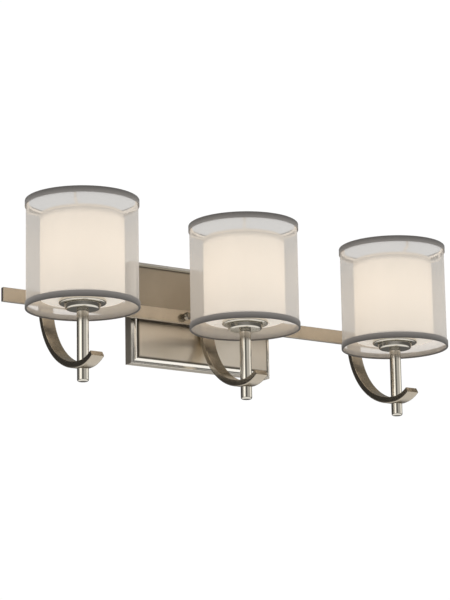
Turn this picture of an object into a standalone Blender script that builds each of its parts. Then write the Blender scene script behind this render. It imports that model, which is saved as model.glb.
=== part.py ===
"""Three-lamp vanity light bar: a flat bar on a stepped backplate, with three J-shaped arms that each
carry an upright stem, a two-tier cup, a socket, an opal drum diffuser and a sheer drum shade.

Frame: X runs along the bar, +Y points into the wall, +Z is up. The origin is the middle of the wall
face of the mounting strap, at the height of the bar's centre line.
"""

import math

import bmesh
import bpy
from mathutils import Matrix, Vector

MM = 0.001
GAP = 0.3                    # clearance between pieces that touch
SLIDE_FIT = 0.3              # radial clearance of a stud, stem or nipple in its hole

# Driving dimensions, in millimetres ---------------------------------------------------------------
LIGHT_PITCH = 216.0          # between neighbouring lamp axes
LAMP_REACH = 104.0           # lamp axis from the wall

SHADE_DIAMETER = 127.0       # over the tape bands
SHADE_HEIGHT = 123.4         # rim to rim
SHADE_DROP = 25.1            # lower rim below the bar's centre line
SHADE_FABRIC = 0.5           # thickness of the laminated sheer
BAND_HEIGHT = 7.1
BAND_THICKNESS = 0.7

DRUM_DIAMETER = 93.5         # opal diffuser
DRUM_HEIGHT = 95.0
DRUM_WALL = 3.0

BAR_OVERHANG = 59.0          # bar beyond the outer lamp axes
BAR_HEIGHT = 16.2
BAR_THICKNESS = 5.0
BAR_FRONT = 31.0             # front face from the wall
BAR_EDGE = 0.8               # bevel on the bar's long edges

PLATE_WIDTH = 194.0
PLATE_HEIGHT = 120.6
PLATE_RISE = 3.2             # plate centre above the bar's centre line
PLATE_COVE = 6.0             # width of the hollow moulding round the panel
PLATE_COVE_RISE = 4.6        # how far the moulding climbs from the side wall's edge
PLATE_STEP = 0.8             # bevelled edge from the moulding up to the panel
PLATE_SHEET = 1.2
PLATE_CLEARANCE = 0.4        # between the panel and the middle arm's back

ARM_WIDTH = 16.0
ARM_THICKNESS = 7.4
ARM_SEAT_CUT = 0.1           # milled off the arm where it lies flat on the bar
ARM_TIP_RADIUS = 44.0        # centre-line radius of the upturned toe
ARM_TIP_ANGLE = 34.0         # how far the toe turns up, in degrees
ARM_CORNER = 2.0             # rounding of the convex side's edges
ARM_NICK = 0.6               # small chamfer of the concave side's edges
BOW_OFFSET = 6.0             # bow centre in front of the lamp axis
NIPPLE_ENTRY = 3.0           # nipple hole above the arm's concave face
DUCT_END_ANGLE = 8.0         # how far the duct and the lead run past the bow's bottom
DUCT_END_STEPS = 1
DUCT_WIDTH = 5.0
DUCT_HEIGHT = 4.2

STEM_DIAMETER = 13.3
STEM_BORE = 10.6
NIPPLE_DIAMETER = 9.5
NIPPLE_BORE = 6.4
NIPPLE_IN_ARM = 1.0          # nipple below the arm's concave face
NIPPLE_SHORT = 2.0           # nipple's end below the socket's floor
THREAD_CHAMFER = 0.5         # at the ends of nipples and studs
STEM_FOOT_SPARE = 2.0        # stem stock below its seat, coped away
FINIAL_DIAMETER = 13.0
FINIAL_LENGTH = 14.4
FINIAL_STUD = 5.0
FINIAL_EDGE = 2.0            # rounding of the lower edge
FINIAL_LIP = 0.4             # chamfer of the upper edge

DISC_DIAMETER = 53.0         # upper tier of the cup
DISC_HEIGHT = 4.4
DISC_EDGE = 1.2              # chamfer of the lower edge
DISC_LIP = 0.8               # chamfer of the upper edge
TIER_DIAMETER = 41.0         # lower tier of the cup
TIER_HEIGHT = 5.9
TIER_OUTLINE = ((2.6, 0.0), (1.2, 0.9), (0.3, 3.0))     # inset and rise of the domed side

SOCKET_DIAMETER = 38.4
SOCKET_HEIGHT = 36.0
SOCKET_BORE = 27.6
SOCKET_FLOOR = 10.0
PORCELAIN_EDGE = 1.0         # chamfer of sockets and rings
RING_DIAMETER = 52.0
RING_HEIGHT = 6.0
DRUM_EDGE = 1.5              # chamfer of the drum's lower edge
DRUM_LIFT = 10.3             # drum's floor above the shade's lower rim

BULB_DIAMETER = 45.0
BULB_LENGTH = 78.0
CAP_DIAMETER = 26.0
CAP_LENGTH = 24.0
CAP_OUTLINE = ((4.8, 0.0), (9.0, 3.5))      # radius and rise of the contact and its cone
CAP_SHOULDER = 5.0
BULB_LIFT = 1.5              # above the socket's floor
BULB_NECK = 8.0              # cap over the globe's neck, in degrees

HANGER_ROD = 2.4             # top ring and arms
HANGER_SEAT = 2.6            # width of the ring on the drum's rim
HANGER_SEAT_HEIGHT = 2.0
HANGER_DROP = 2.0            # top ring below the shade's rim
HANGER_KNEE = 6.0            # rise of the arms to the shade
HANGER_SHEET = 1.6           # thickness of the arms

STUD_SPACING = 69.85         # the two fixing studs
STUD_DIAMETER = 4.1
STRAP_LENGTH = 112.0         # mounting strap behind the plate
STRAP_HEIGHT = 20.0
STRAP_THICKNESS = 2.0
STRAP_SLOT_SPACING = 89.0
STRAP_SLOT_LENGTH = 10.0
STRAP_SLOT_HEIGHT = 4.6
BALL_DIAMETER = 9.8
BALL_CENTRE = 5.0            # ball's centre in front of its seat
COLLAR_DIAMETER = 8.4
COLLAR_HEIGHT = 1.0
STUD_LENGTH_OUT = 6.5        # stud beyond the bar's front
NUT_BOTTOM = 1.0             # space in the nut beyond the stud
SPACER_DIAMETER = 10.0
EARTH_INSET = 14.0           # earth screw from the right stud
EARTH_SHANK = 3.6
EARTH_HEAD = 8.0
EARTH_HEAD_EDGE = 1.0
EARTH_HEAD_SIDE = 1.6
EARTH_HEAD_HEIGHT = 2.2

SCREW_DIAMETER = 4.0
SCREW_HEAD = 7.6
SCREW_SINK = 0.3             # head below the arm's back
SCREW_HEAD_SIDE = 0.3
SCREW_HEAD_HEIGHT = 2.3
SCREW_REACH = 3.2            # screw into the bar
SCREW_TIP = 0.6              # chamfer of its end
SCREW_HOLE_DEPTH = 3.8
DRIVER_SLOT = 1.0
DRIVER_SLOT_DEPTH = 0.9
SCREW_RISE = 4.0             # arm screw above the bar's centre line
LEAD_DIAMETER = 2.6
GROOVE_DROP = 4.4            # wire groove below the bar's centre line
GROOVE_HEIGHT = 4.0
GROOVE_DEPTH = 3.4
GROOVE_LEAD_LIFT = 0.2       # lead towards the back of its groove
WIRE_HOLE_OFFSET = 17.5
WIRE_HOLE_DIAMETER = 10.0
LEAD_SPACING = 2.2           # two leads side by side in one wire hole, from its middle
LEAD_ENTRY = 5.0             # lead behind the plate's sheet
LEAD_IN_SOCKET = 3.0         # lead's end below the socket's floor
LEAD_RISE = -14.0            # height where the lead leaves the arm's curve for the bar
LEAD_BEND = 3.0
LEAD_BEND_LOW = 4.5
CUT = 2.0                    # how far a cutter runs past what it cuts

# Sizes that follow from the ones above ------------------------------------------------------------
SHADE_TOP = SHADE_HEIGHT - SHADE_DROP
FABRIC_RADIUS = SHADE_DIAMETER / 2 - BAND_THICKNESS - GAP
BAR_BACK = BAR_FRONT - BAR_THICKNESS
BAR_HALF = LIGHT_PITCH + BAR_OVERHANG
ARM_INNER = BAR_BACK - GAP + ARM_SEAT_CUT    # concave face of the arm beside the bar, before its seat
ARM_MID = ARM_INNER - ARM_THICKNESS / 2
PANEL_FACE = ARM_INNER - ARM_THICKNESS - PLATE_CLEARANCE
PLATE_SIDE = PANEL_FACE - PLATE_STEP - PLATE_COVE_RISE     # depth of the plain side wall
ARM_BOW_CENTRE = LAMP_REACH + BOW_OFFSET     # from the wall
BOW_RADIUS = ARM_BOW_CENTRE - ARM_MID
ARM_SEAT = math.sqrt((BOW_RADIUS - ARM_THICKNESS / 2) ** 2 - (ARM_BOW_CENTRE - LAMP_REACH) ** 2)
ARM_UNDER = BOW_RADIUS + ARM_THICKNESS / 2

DRUM_BOTTOM = -SHADE_DROP + DRUM_LIFT
DISC_TOP = DRUM_BOTTOM - GAP
DISC_BOTTOM = DISC_TOP - DISC_HEIGHT
TIER_TOP = DISC_BOTTOM - GAP
TIER_BOTTOM = TIER_TOP - TIER_HEIGHT
STEM_TOP = TIER_BOTTOM - GAP
SOCKET_BOTTOM = DISC_TOP + GAP
SOCKET_INNER_FLOOR = SOCKET_BOTTOM + SOCKET_FLOOR
DRUM_TOP = DRUM_BOTTOM + DRUM_HEIGHT
FINIAL_TOP = -ARM_UNDER - GAP

LAMPS = {"left": -LIGHT_PITCH, "middle": 0.0, "right": LIGHT_PITCH}
HANGER_TURN = {"left": -38.0, "middle": -33.0, "right": -20.0}

# Finishes: base colour, roughness, metallic -------------------------------------------------------
FINISHES = {
    "antique_nickel": ((0.42, 0.37, 0.30), 0.30, 1.0),
    "plated_steel": ((0.60, 0.60, 0.58), 0.40, 1.0),
    "green_screw": ((0.05, 0.30, 0.12), 0.40, 0.6),
    "sheer": ((0.74, 0.74, 0.73), 0.85, 0.0),
    "tape": ((0.20, 0.20, 0.20), 0.80, 0.0),
    "opal_glass": ((0.93, 0.89, 0.83), 0.30, 0.0),
    "white_steel": ((0.80, 0.80, 0.78), 0.45, 0.0),
    "porcelain": ((0.86, 0.85, 0.81), 0.25, 0.0),
    "bulb_glass": ((0.95, 0.94, 0.90), 0.20, 0.0),
    "lead_sleeve": ((0.05, 0.05, 0.05), 0.55, 0.0),
}


def clear_scene():
    for item in list(bpy.data.objects):
        bpy.data.objects.remove(item, do_unlink=True)


def finish_material(piece, finish):
    """Give a piece a material of its own in the named finish."""
    colour, roughness, metallic = FINISHES[finish]
    material = bpy.data.materials.new(piece.name + "_" + finish)
    material.use_nodes = True
    shader = material.node_tree.nodes["Principled BSDF"]
    shader.inputs["Base Color"].default_value = (*colour, 1.0)
    shader.inputs["Roughness"].default_value = roughness
    shader.inputs["Metallic"].default_value = metallic
    piece.data.materials.append(material)


def add_piece(name, bm, finish, parent=None, at=(0, 0, 0), smooth=True):
    """Turn a bmesh in millimetres into a named object placed at a point in millimetres."""
    bmesh.ops.scale(bm, vec=(MM, MM, MM), verts=bm.verts)
    bmesh.ops.recalc_face_normals(bm, faces=bm.faces)
    mesh = bpy.data.meshes.new(name)
    bm.to_mesh(mesh)
    bm.free()
    if smooth:
        mesh.shade_smooth()
        mesh.set_sharp_from_angle(angle=math.radians(35))
    piece = bpy.data.objects.new(name, mesh)
    bpy.context.scene.collection.objects.link(piece)
    piece.parent = parent
    piece.location = Vector(at) * MM
    if finish:
        finish_material(piece, finish)
    return piece


def as_cutter(piece):
    piece.hide_render = True
    piece.display_type = "WIRE"
    return piece


def boolean(piece, other, operation="DIFFERENCE"):
    step = piece.modifiers.new(operation.title() + "_" + other.name, "BOOLEAN")
    step.operation = operation
    step.object = other


def turned_bmesh(profile, segments, axis="Z"):
    """Turn a closed outline of (radius, height) points about an axis; radius 0 makes a pole."""
    bm = bmesh.new()
    rings = []
    for radius, height in profile:
        if radius <= 0:
            rings.append([bm.verts.new((0, 0, height))] * segments)
            continue
        ring = []
        for step in range(segments):
            turn = 2 * math.pi * step / segments
            ring.append(bm.verts.new((radius * math.cos(turn), radius * math.sin(turn), height)))
        rings.append(ring)
    for ring, following in zip(rings, rings[1:] + rings[:1]):
        for step in range(segments):
            after = (step + 1) % segments
            corners = [ring[step], ring[after], following[after], following[step]]
            corners = list(dict.fromkeys(corners))
            if len(corners) > 2:
                bm.faces.new(corners)
    if axis == "Y":
        bmesh.ops.rotate(bm, verts=bm.verts, matrix=Matrix.Rotation(math.radians(90), 3, "X"))
    return bm


def turned(name, profile, finish, segments=24, axis="Z", **place):
    return add_piece(name, turned_bmesh(profile, segments, axis), finish, **place)


def drill(piece, name, diameter, start, end, at, axis="Z", segments=14):
    """Cut a round hole between two heights along an axis through a point."""
    radius = diameter / 2
    profile = [(0, start), (radius, start), (radius, end), (0, end)]
    bm = turned_bmesh(profile, segments, axis)
    boolean(piece, as_cutter(add_piece(name, bm, None, parent=piece.parent, at=at)))


def box_bmesh(low, high):
    bm = bmesh.new()
    bmesh.ops.create_cube(bm, size=1.0)
    low, high = Vector(low), Vector(high)
    bmesh.ops.scale(bm, vec=high - low, verts=bm.verts)
    bmesh.ops.translate(bm, vec=(low + high) / 2, verts=bm.verts)
    return bm


def box(name, low, high, finish, bevel=0.0, parent=None):
    bm = box_bmesh(low, high)
    if bevel:
        bmesh.ops.bevel(bm, geom=bm.edges[:], offset=bevel, segments=1, affect="EDGES")
    return add_piece(name, bm, finish, parent=parent, smooth=False)


def swept_bmesh(path, section):
    """Carry a section of (across, outward) points along a path of (y, z, outward y, outward z)."""
    bm = bmesh.new()
    rings = []
    for y, z, out_y, out_z in path:
        rings.append([bm.verts.new((x, y + out * out_y, z + out * out_z)) for x, out in section])
    count = len(section)
    for ring, following in zip(rings, rings[1:]):
        for step in range(count):
            after = (step + 1) % count
            bm.faces.new([ring[step], ring[after], following[after], following[step]])
    bm.faces.new(rings[0])
    bm.faces.new(rings[-1][::-1])
    return bm


def arm_path(start_height, toe_angle, steps=13, toe_steps=4):
    """Centre line of the arm: straight down the bar's back, round the bow, and up the toe."""
    path = [(-ARM_MID, start_height, 1.0, 0.0)] if start_height > 0 else []
    for step in range(steps + 1):
        turn = math.radians(90.0 * step / steps)
        out_y, out_z = math.cos(turn), -math.sin(turn)
        height = BOW_RADIUS * out_z
        if height <= start_height:
            path.append((-ARM_BOW_CENTRE + BOW_RADIUS * out_y, height, out_y, out_z))
    toe_centre = ARM_TIP_RADIUS - BOW_RADIUS
    for step in range(1, toe_steps + 1):
        turn = math.radians(90.0 + toe_angle * step / toe_steps)
        out_y, out_z = math.cos(turn), -math.sin(turn)
        path.append((-ARM_BOW_CENTRE + ARM_TIP_RADIUS * out_y, toe_centre + ARM_TIP_RADIUS * out_z,
                     out_y, out_z))
    return path


def make_arm(side, lamp):
    """J-shaped arm with a wire duct from the bar's groove to the foot of the stem."""
    half, out = ARM_WIDTH / 2, ARM_THICKNESS / 2
    corner, nick = ARM_CORNER, ARM_NICK
    mid = corner * (1 - math.sqrt(0.5))
    section = [(-half, -out + nick), (-half + nick, -out), (half - nick, -out), (half, -out + nick),
               (half, out - corner), (half - mid, out - mid), (half - corner, out),
               (-half + corner, out), (-half + mid, out - mid), (-half, out - corner)]
    bm = swept_bmesh(arm_path(BAR_HEIGHT / 2, ARM_TIP_ANGLE), section)
    bmesh.ops.translate(bm, vec=(0, LAMP_REACH, 0), verts=bm.verts)
    arm = add_piece("arm_" + side, bm, "antique_nickel", parent=lamp)

    wide, high = DUCT_WIDTH / 2, DUCT_HEIGHT / 2
    hollow = [(-wide, -high), (wide, -high), (wide, high), (-wide, high)]
    duct_path = arm_path(-GROOVE_DROP, DUCT_END_ANGLE, toe_steps=DUCT_END_STEPS)
    duct_path.insert(0, (-ARM_MID, -GROOVE_DROP + GROOVE_HEIGHT / 2, 1.0, 0.0))
    bm = swept_bmesh(duct_path, hollow)
    bmesh.ops.translate(bm, vec=(0, LAMP_REACH, 0), verts=bm.verts)
    boolean(arm, as_cutter(add_piece("cut_duct_" + side, bm, None, parent=lamp)))

    seat = box_bmesh((-ARM_WIDTH, LAMP_REACH - BAR_FRONT, -BAR_HEIGHT / 2 - GAP),
                     (ARM_WIDTH, LAMP_REACH - BAR_BACK + GAP, BAR_HEIGHT))
    boolean(arm, as_cutter(add_piece("cut_arm_seat_" + side, seat, None, parent=lamp)))
    mouth = box_bmesh((-wide, LAMP_REACH - BAR_BACK - CUT, -GROOVE_DROP - GROOVE_HEIGHT / 2),
                      (wide, LAMP_REACH - ARM_MID, -GROOVE_DROP + GROOVE_HEIGHT / 2))
    boolean(arm, as_cutter(add_piece("cut_mouth_" + side, mouth, None, parent=lamp)))
    hole = NIPPLE_DIAMETER + 2 * SLIDE_FIT
    drill(arm, "cut_seat_" + side, hole, -BOW_RADIUS, -ARM_SEAT + NIPPLE_ENTRY, (0, 0, 0))
    hole = FINIAL_STUD + 2 * SLIDE_FIT
    drill(arm, "cut_stud_" + side, hole, -ARM_UNDER - CUT, -BOW_RADIUS, (0, 0, 0))

    shank, head = SCREW_DIAMETER / 2 + SLIDE_FIT, SCREW_HEAD / 2 + SLIDE_FIT
    back = -ARM_THICKNESS / 2
    sink = [(0, back - CUT), (head, back - CUT), (head, back + SCREW_SINK),
            (shank, back + SCREW_HEAD_HEIGHT + SLIDE_FIT), (shank, -back + CUT), (0, -back + CUT)]
    cutter = turned_bmesh(sink, 14, "Y")
    place = (0, LAMP_REACH - ARM_MID, SCREW_RISE)
    boolean(arm, as_cutter(add_piece("cut_screw_" + side, cutter, None, parent=lamp, at=place)))


def make_arm_screw(side, lamp):
    """Countersunk screw from the arm's back into the bar, with a driver slot."""
    shank, head = SCREW_DIAMETER / 2, SCREW_HEAD / 2
    face = -ARM_THICKNESS / 2 + SCREW_SINK
    tip = ARM_THICKNESS / 2 + GAP + SCREW_REACH
    profile = [(0, face), (head, face), (head, face + SCREW_HEAD_SIDE),
               (shank, face + SCREW_HEAD_HEIGHT), (shank, tip - SCREW_TIP),
               (shank - SCREW_TIP, tip), (0, tip)]
    place = (0, LAMP_REACH - ARM_MID, SCREW_RISE)
    screw = turned("arm_screw_" + side, profile, "plated_steel", 14, "Y", parent=lamp, at=place)
    face_y = LAMP_REACH - ARM_MID - face
    slot = box_bmesh((-head - CUT, face_y - DRIVER_SLOT_DEPTH, SCREW_RISE - DRIVER_SLOT / 2),
                     (head + CUT, face_y + CUT, SCREW_RISE + DRIVER_SLOT / 2))
    boolean(screw, as_cutter(add_piece("cut_slot_" + side, slot, None, parent=lamp)))


def make_stem(side, lamp):
    """Tube whose foot is coped to the arm's bow, and the threaded nipple inside it."""
    outer, inner = STEM_DIAMETER / 2, STEM_BORE / 2
    foot = -ARM_SEAT - STEM_FOOT_SPARE
    profile = [(outer, foot), (outer, STEM_TOP), (inner, STEM_TOP), (inner, foot)]
    stem = turned("stem_" + side, profile, "antique_nickel", 20, parent=lamp)
    bow = BOW_RADIUS - ARM_THICKNESS / 2 - GAP
    bm = turned_bmesh([(0, -ARM_WIDTH), (bow, -ARM_WIDTH), (bow, ARM_WIDTH), (0, ARM_WIDTH)], 120)
    bmesh.ops.rotate(bm, verts=bm.verts, matrix=Matrix.Rotation(math.radians(90), 3, "Y"))
    cope = add_piece("cut_cope_" + side, bm, None, parent=lamp,
                     at=(0, LAMP_REACH - ARM_BOW_CENTRE, 0))
    boolean(stem, as_cutter(cope), "INTERSECT")

    outer, inner = NIPPLE_DIAMETER / 2, NIPPLE_BORE / 2
    foot, top, edge = -ARM_SEAT - NIPPLE_IN_ARM, SOCKET_INNER_FLOOR - NIPPLE_SHORT, THREAD_CHAMFER
    profile = [(outer - edge, foot), (outer, foot + edge), (outer, top - edge), (outer - edge, top),
               (inner, top), (inner, foot)]
    turned("nipple_" + side, profile, "plated_steel", 14, parent=lamp)


def make_finial(side, lamp):
    """Plain round foot below the arm, with the threaded stud that holds it."""
    radius, edge, stud = FINIAL_DIAMETER / 2, FINIAL_EDGE, FINIAL_STUD / 2
    bottom = FINIAL_TOP - FINIAL_LENGTH
    profile = [(0, bottom), (radius - edge, bottom)]
    for turn in (35, 65, 90):
        angle = math.radians(turn)
        profile.append((radius - edge + edge * math.sin(angle), bottom + edge - edge * math.cos(angle)))
    stud_top = -ARM_UNDER + (ARM_THICKNESS - DUCT_HEIGHT) / 2
    profile += [(radius, FINIAL_TOP - FINIAL_LIP), (radius - FINIAL_LIP, FINIAL_TOP), (stud, FINIAL_TOP),
                (stud, stud_top), (0, stud_top)]
    turned("finial_" + side, profile, "antique_nickel", 18, parent=lamp)


def make_cup(side, lamp):
    """The two tiers below the drum: a flat disc and a smaller domed one."""
    hole = NIPPLE_DIAMETER / 2 + SLIDE_FIT
    radius = DISC_DIAMETER / 2
    profile = [(hole, DISC_BOTTOM), (radius - DISC_EDGE, DISC_BOTTOM), (radius, DISC_BOTTOM + DISC_EDGE),
               (radius, DISC_TOP - DISC_LIP), (radius - DISC_LIP, DISC_TOP), (hole, DISC_TOP)]
    turned("cup_disc_" + side, profile, "antique_nickel", 24, parent=lamp)
    radius = TIER_DIAMETER / 2
    profile = [(hole, TIER_BOTTOM)]
    profile += [(radius - inset, TIER_BOTTOM + rise) for inset, rise in TIER_OUTLINE]
    profile += [(radius, TIER_TOP), (hole, TIER_TOP)]
    turned("cup_tier_" + side, profile, "antique_nickel", 24, parent=lamp)


def make_socket(side, lamp):
    """Porcelain socket and the threaded ring that clamps the drum's floor to the cup."""
    outer, bore = SOCKET_DIAMETER / 2, SOCKET_BORE / 2
    hole = NIPPLE_DIAMETER / 2 + SLIDE_FIT
    top = SOCKET_BOTTOM + SOCKET_HEIGHT
    profile = [(hole, SOCKET_BOTTOM), (outer, SOCKET_BOTTOM), (outer, top - PORCELAIN_EDGE),
               (outer - PORCELAIN_EDGE, top), (bore, top), (bore, SOCKET_INNER_FLOOR),
               (hole, SOCKET_INNER_FLOOR)]
    turned("socket_" + side, profile, "porcelain", 20, parent=lamp)
    inner, rim = outer + SLIDE_FIT, RING_DIAMETER / 2
    low = DRUM_BOTTOM + DRUM_WALL + GAP
    high = low + RING_HEIGHT
    profile = [(inner, low), (rim, low), (rim, high - PORCELAIN_EDGE), (rim - PORCELAIN_EDGE, high),
               (inner, high)]
    turned("shade_ring_" + side, profile, "porcelain", 20, parent=lamp)


def make_bulb(side, lamp):
    """Small round lamp in its screw cap."""
    cap, globe = CAP_DIAMETER / 2, BULB_DIAMETER / 2
    foot = SOCKET_INNER_FLOOR + BULB_LIFT
    centre = foot + BULB_LENGTH - globe
    profile = [(0, foot)] + [(radius, foot + rise) for radius, rise in CAP_OUTLINE]
    profile += [(cap, foot + CAP_SHOULDER), (cap, foot + CAP_LENGTH)]
    neck = math.degrees(math.asin(cap / globe)) + BULB_NECK
    steps = 6
    for step in range(steps):
        turn = math.radians((180 - neck) * (1 - step / steps))
        profile.append((globe * math.sin(turn), centre + globe * math.cos(turn)))
    profile.append((0, centre + globe))
    turned("bulb_" + side, profile, "bulb_glass", 16, parent=lamp)


def make_drum(side, lamp):
    """Opal drum, open at the top, with a hole in its floor for the socket."""
    outer, inner = DRUM_DIAMETER / 2, DRUM_DIAMETER / 2 - DRUM_WALL
    hole = SOCKET_DIAMETER / 2 + 2 * SLIDE_FIT
    profile = [(hole, DRUM_BOTTOM), (outer - DRUM_EDGE, DRUM_BOTTOM), (outer, DRUM_BOTTOM + DRUM_EDGE),
               (outer, DRUM_TOP), (inner, DRUM_TOP), (inner, DRUM_BOTTOM + DRUM_WALL),
               (hole, DRUM_BOTTOM + DRUM_WALL)]
    turned("diffuser_" + side, profile, "opal_glass", 30, parent=lamp)


def ring_bmesh(inner, outer, low, high, segments=30):
    return turned_bmesh([(inner, low), (outer, low), (outer, high), (inner, high)], segments)


def make_hanger(side, lamp):
    """Frame that carries the shade: a ring on the drum's rim, four cranked arms and a top ring."""
    seat = DRUM_TOP + GAP
    drum_middle = (DRUM_DIAMETER - DRUM_WALL) / 2
    bore = FABRIC_RADIUS - SHADE_FABRIC - GAP
    top = SHADE_TOP - HANGER_DROP
    half_seat, half_arm = HANGER_SEAT / 2, HANGER_ROD / 2
    bm = ring_bmesh(drum_middle - half_seat, drum_middle + half_seat, seat, seat + HANGER_SEAT_HEIGHT)
    hanger = add_piece("hanger_" + side, bm, "white_steel", parent=lamp)
    turn = math.radians(HANGER_TURN[side])
    hanger.rotation_euler.z = turn
    bm = ring_bmesh(bore - HANGER_ROD, bore, top - HANGER_ROD, top)
    upper = as_cutter(add_piece("add_top_ring_" + side, bm, None, parent=lamp))
    upper.rotation_euler.z = turn
    boolean(hanger, upper, "UNION")
    inner, outer = drum_middle - half_seat / 2, bore - half_arm / 3
    low, knee, high = seat + HANGER_SEAT_HEIGHT / 10, seat + HANGER_KNEE, top - HANGER_ROD * 0.4
    outline = [(inner, low), (outer, knee - HANGER_SHEET / 2), (outer, high),
               (outer - HANGER_SHEET, high), (outer - HANGER_SHEET, knee + HANGER_SHEET / 4),
               (inner, low + HANGER_SHEET)]
    for number in range(4):
        bm = bmesh.new()
        sides = [[bm.verts.new((r, y, z)) for r, z in outline] for y in (-half_arm, half_arm)]
        bm.faces.new(sides[0])
        bm.faces.new(sides[1][::-1])
        for step in range(len(outline)):
            after = (step + 1) % len(outline)
            bm.faces.new([sides[0][step], sides[1][step], sides[1][after], sides[0][after]])
        arm = as_cutter(add_piece("add_hanger_arm_%s_%d" % (side, number), bm, None, parent=lamp))
        arm.rotation_euler.z = turn + math.radians(90 * number)
        boolean(hanger, arm, "UNION")


def make_shade(side, lamp):
    """Sheer drum shade with a tape band round each rim."""
    bm = ring_bmesh(FABRIC_RADIUS - SHADE_FABRIC, FABRIC_RADIUS, -SHADE_DROP + GAP, SHADE_TOP - GAP)
    add_piece("shade_" + side, bm, "sheer", parent=lamp)
    radius = SHADE_DIAMETER / 2
    for name, low in (("band_top_", SHADE_TOP - BAND_HEIGHT), ("band_bottom_", -SHADE_DROP)):
        bm = ring_bmesh(radius - BAND_THICKNESS, radius, low, low + BAND_HEIGHT)
        add_piece(name + side, bm, "tape", parent=lamp)


def smooth_route(corners, radius):
    """Round each corner of a route of straight runs with a short arc-like curve."""
    route = [Vector(corners[0])]
    for before, corner, after in zip(corners, corners[1:], corners[2:]):
        before, corner, after = Vector(before), Vector(corner), Vector(after)
        reach = min(radius, (corner - before).length / 2, (after - corner).length / 2)
        enter = corner + (before - corner).normalized() * reach
        leave = corner + (after - corner).normalized() * reach
        for step in range(4):
            share = step / 3
            route.append(enter.lerp(corner, share).lerp(corner.lerp(leave, share), share))
    route.append(Vector(corners[-1]))
    return route


def make_lead(side, lamp_x):
    """Sleeved lamp lead: down the nipple, up the arm's duct, along the bar's groove, into the plate."""
    bow = arm_path(LEAD_RISE, DUCT_END_ANGLE, toe_steps=DUCT_END_STEPS)
    duct = [(lamp_x, y, z) for y, z, _, _ in bow[:-2]][::-1]
    groove_y = -BAR_BACK + GROOVE_LEAD_LIFT - GROOVE_DEPTH / 2
    exits = {"left": -WIRE_HOLE_OFFSET, "middle": WIRE_HOLE_OFFSET - LEAD_SPACING,
             "right": WIRE_HOLE_OFFSET + LEAD_SPACING}
    exit_x = exits[side]
    stem_y = -LAMP_REACH
    corners = [(lamp_x, stem_y, SOCKET_INNER_FLOOR - LEAD_IN_SOCKET), (lamp_x, stem_y, duct[0][2])]
    route = smooth_route(corners + [duct[0]], LEAD_BEND_LOW)[:-1] + [Vector(point) for point in duct]
    turn = [duct[-1], (lamp_x, -ARM_MID, -GROOVE_DROP), (lamp_x, groove_y, -GROOVE_DROP),
            (exit_x, groove_y, -GROOVE_DROP), (exit_x, -PANEL_FACE + PLATE_SHEET + LEAD_ENTRY, -GROOVE_DROP)]
    route += smooth_route(turn, LEAD_BEND)[1:]
    curve = bpy.data.curves.new("lead_" + side, "CURVE")
    curve.dimensions = "3D"
    curve.bevel_depth = LEAD_DIAMETER / 2 * MM
    curve.bevel_resolution = 1
    curve.use_fill_caps = True
    spline = curve.splines.new("POLY")
    spline.points.add(len(route) - 1)
    for point, place in zip(spline.points, route):
        point.co = (*(place * MM), 1.0)
    lead = bpy.data.objects.new("lead_" + side, curve)
    bpy.context.scene.collection.objects.link(lead)
    finish_material(lead, "lead_sleeve")


def make_bar():
    half, high = BAR_HALF, BAR_HEIGHT / 2
    bar = box("light_bar", (-half, -BAR_FRONT, -high), (half, -BAR_BACK, high), "antique_nickel", BAR_EDGE)
    end = LIGHT_PITCH + DUCT_WIDTH / 2
    groove = box_bmesh((-end, -BAR_BACK - GROOVE_DEPTH, -GROOVE_DROP - GROOVE_HEIGHT / 2),
                       (end, -BAR_BACK + CUT, -GROOVE_DROP + GROOVE_HEIGHT / 2))
    boolean(bar, as_cutter(add_piece("cut_groove", groove, None)))
    hole = STUD_DIAMETER + 2 * SLIDE_FIT
    for number, x in enumerate((-STUD_SPACING / 2, STUD_SPACING / 2)):
        drill(bar, "cut_bar_stud_%d" % number, hole, -CUT, BAR_THICKNESS + CUT, (x, -BAR_BACK, 0), "Y")
    screw_hole = SCREW_DIAMETER + 2 * SLIDE_FIT
    for side, x in LAMPS.items():
        place = (x, -BAR_BACK, SCREW_RISE)
        drill(bar, "cut_bar_screw_" + side, screw_hole, -CUT, SCREW_HOLE_DEPTH, place, "Y")


def plate_rings(sheet):
    """Outline of the plate as (inset from its edge, depth from the wall), offset in by the sheet."""
    rings = [(sheet, 0.0), (sheet, PLATE_SIDE - sheet)]
    steps = 5
    for step in range(1, steps + 1):
        turn = math.radians(90 * step / steps)
        inset, rise = PLATE_COVE * math.sin(turn), PLATE_COVE_RISE * (1 - math.cos(turn))
        rings.append((inset + sheet, PLATE_SIDE + rise - sheet))
    rings.append((PLATE_COVE + PLATE_STEP + sheet, PANEL_FACE - sheet))
    return rings


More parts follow.
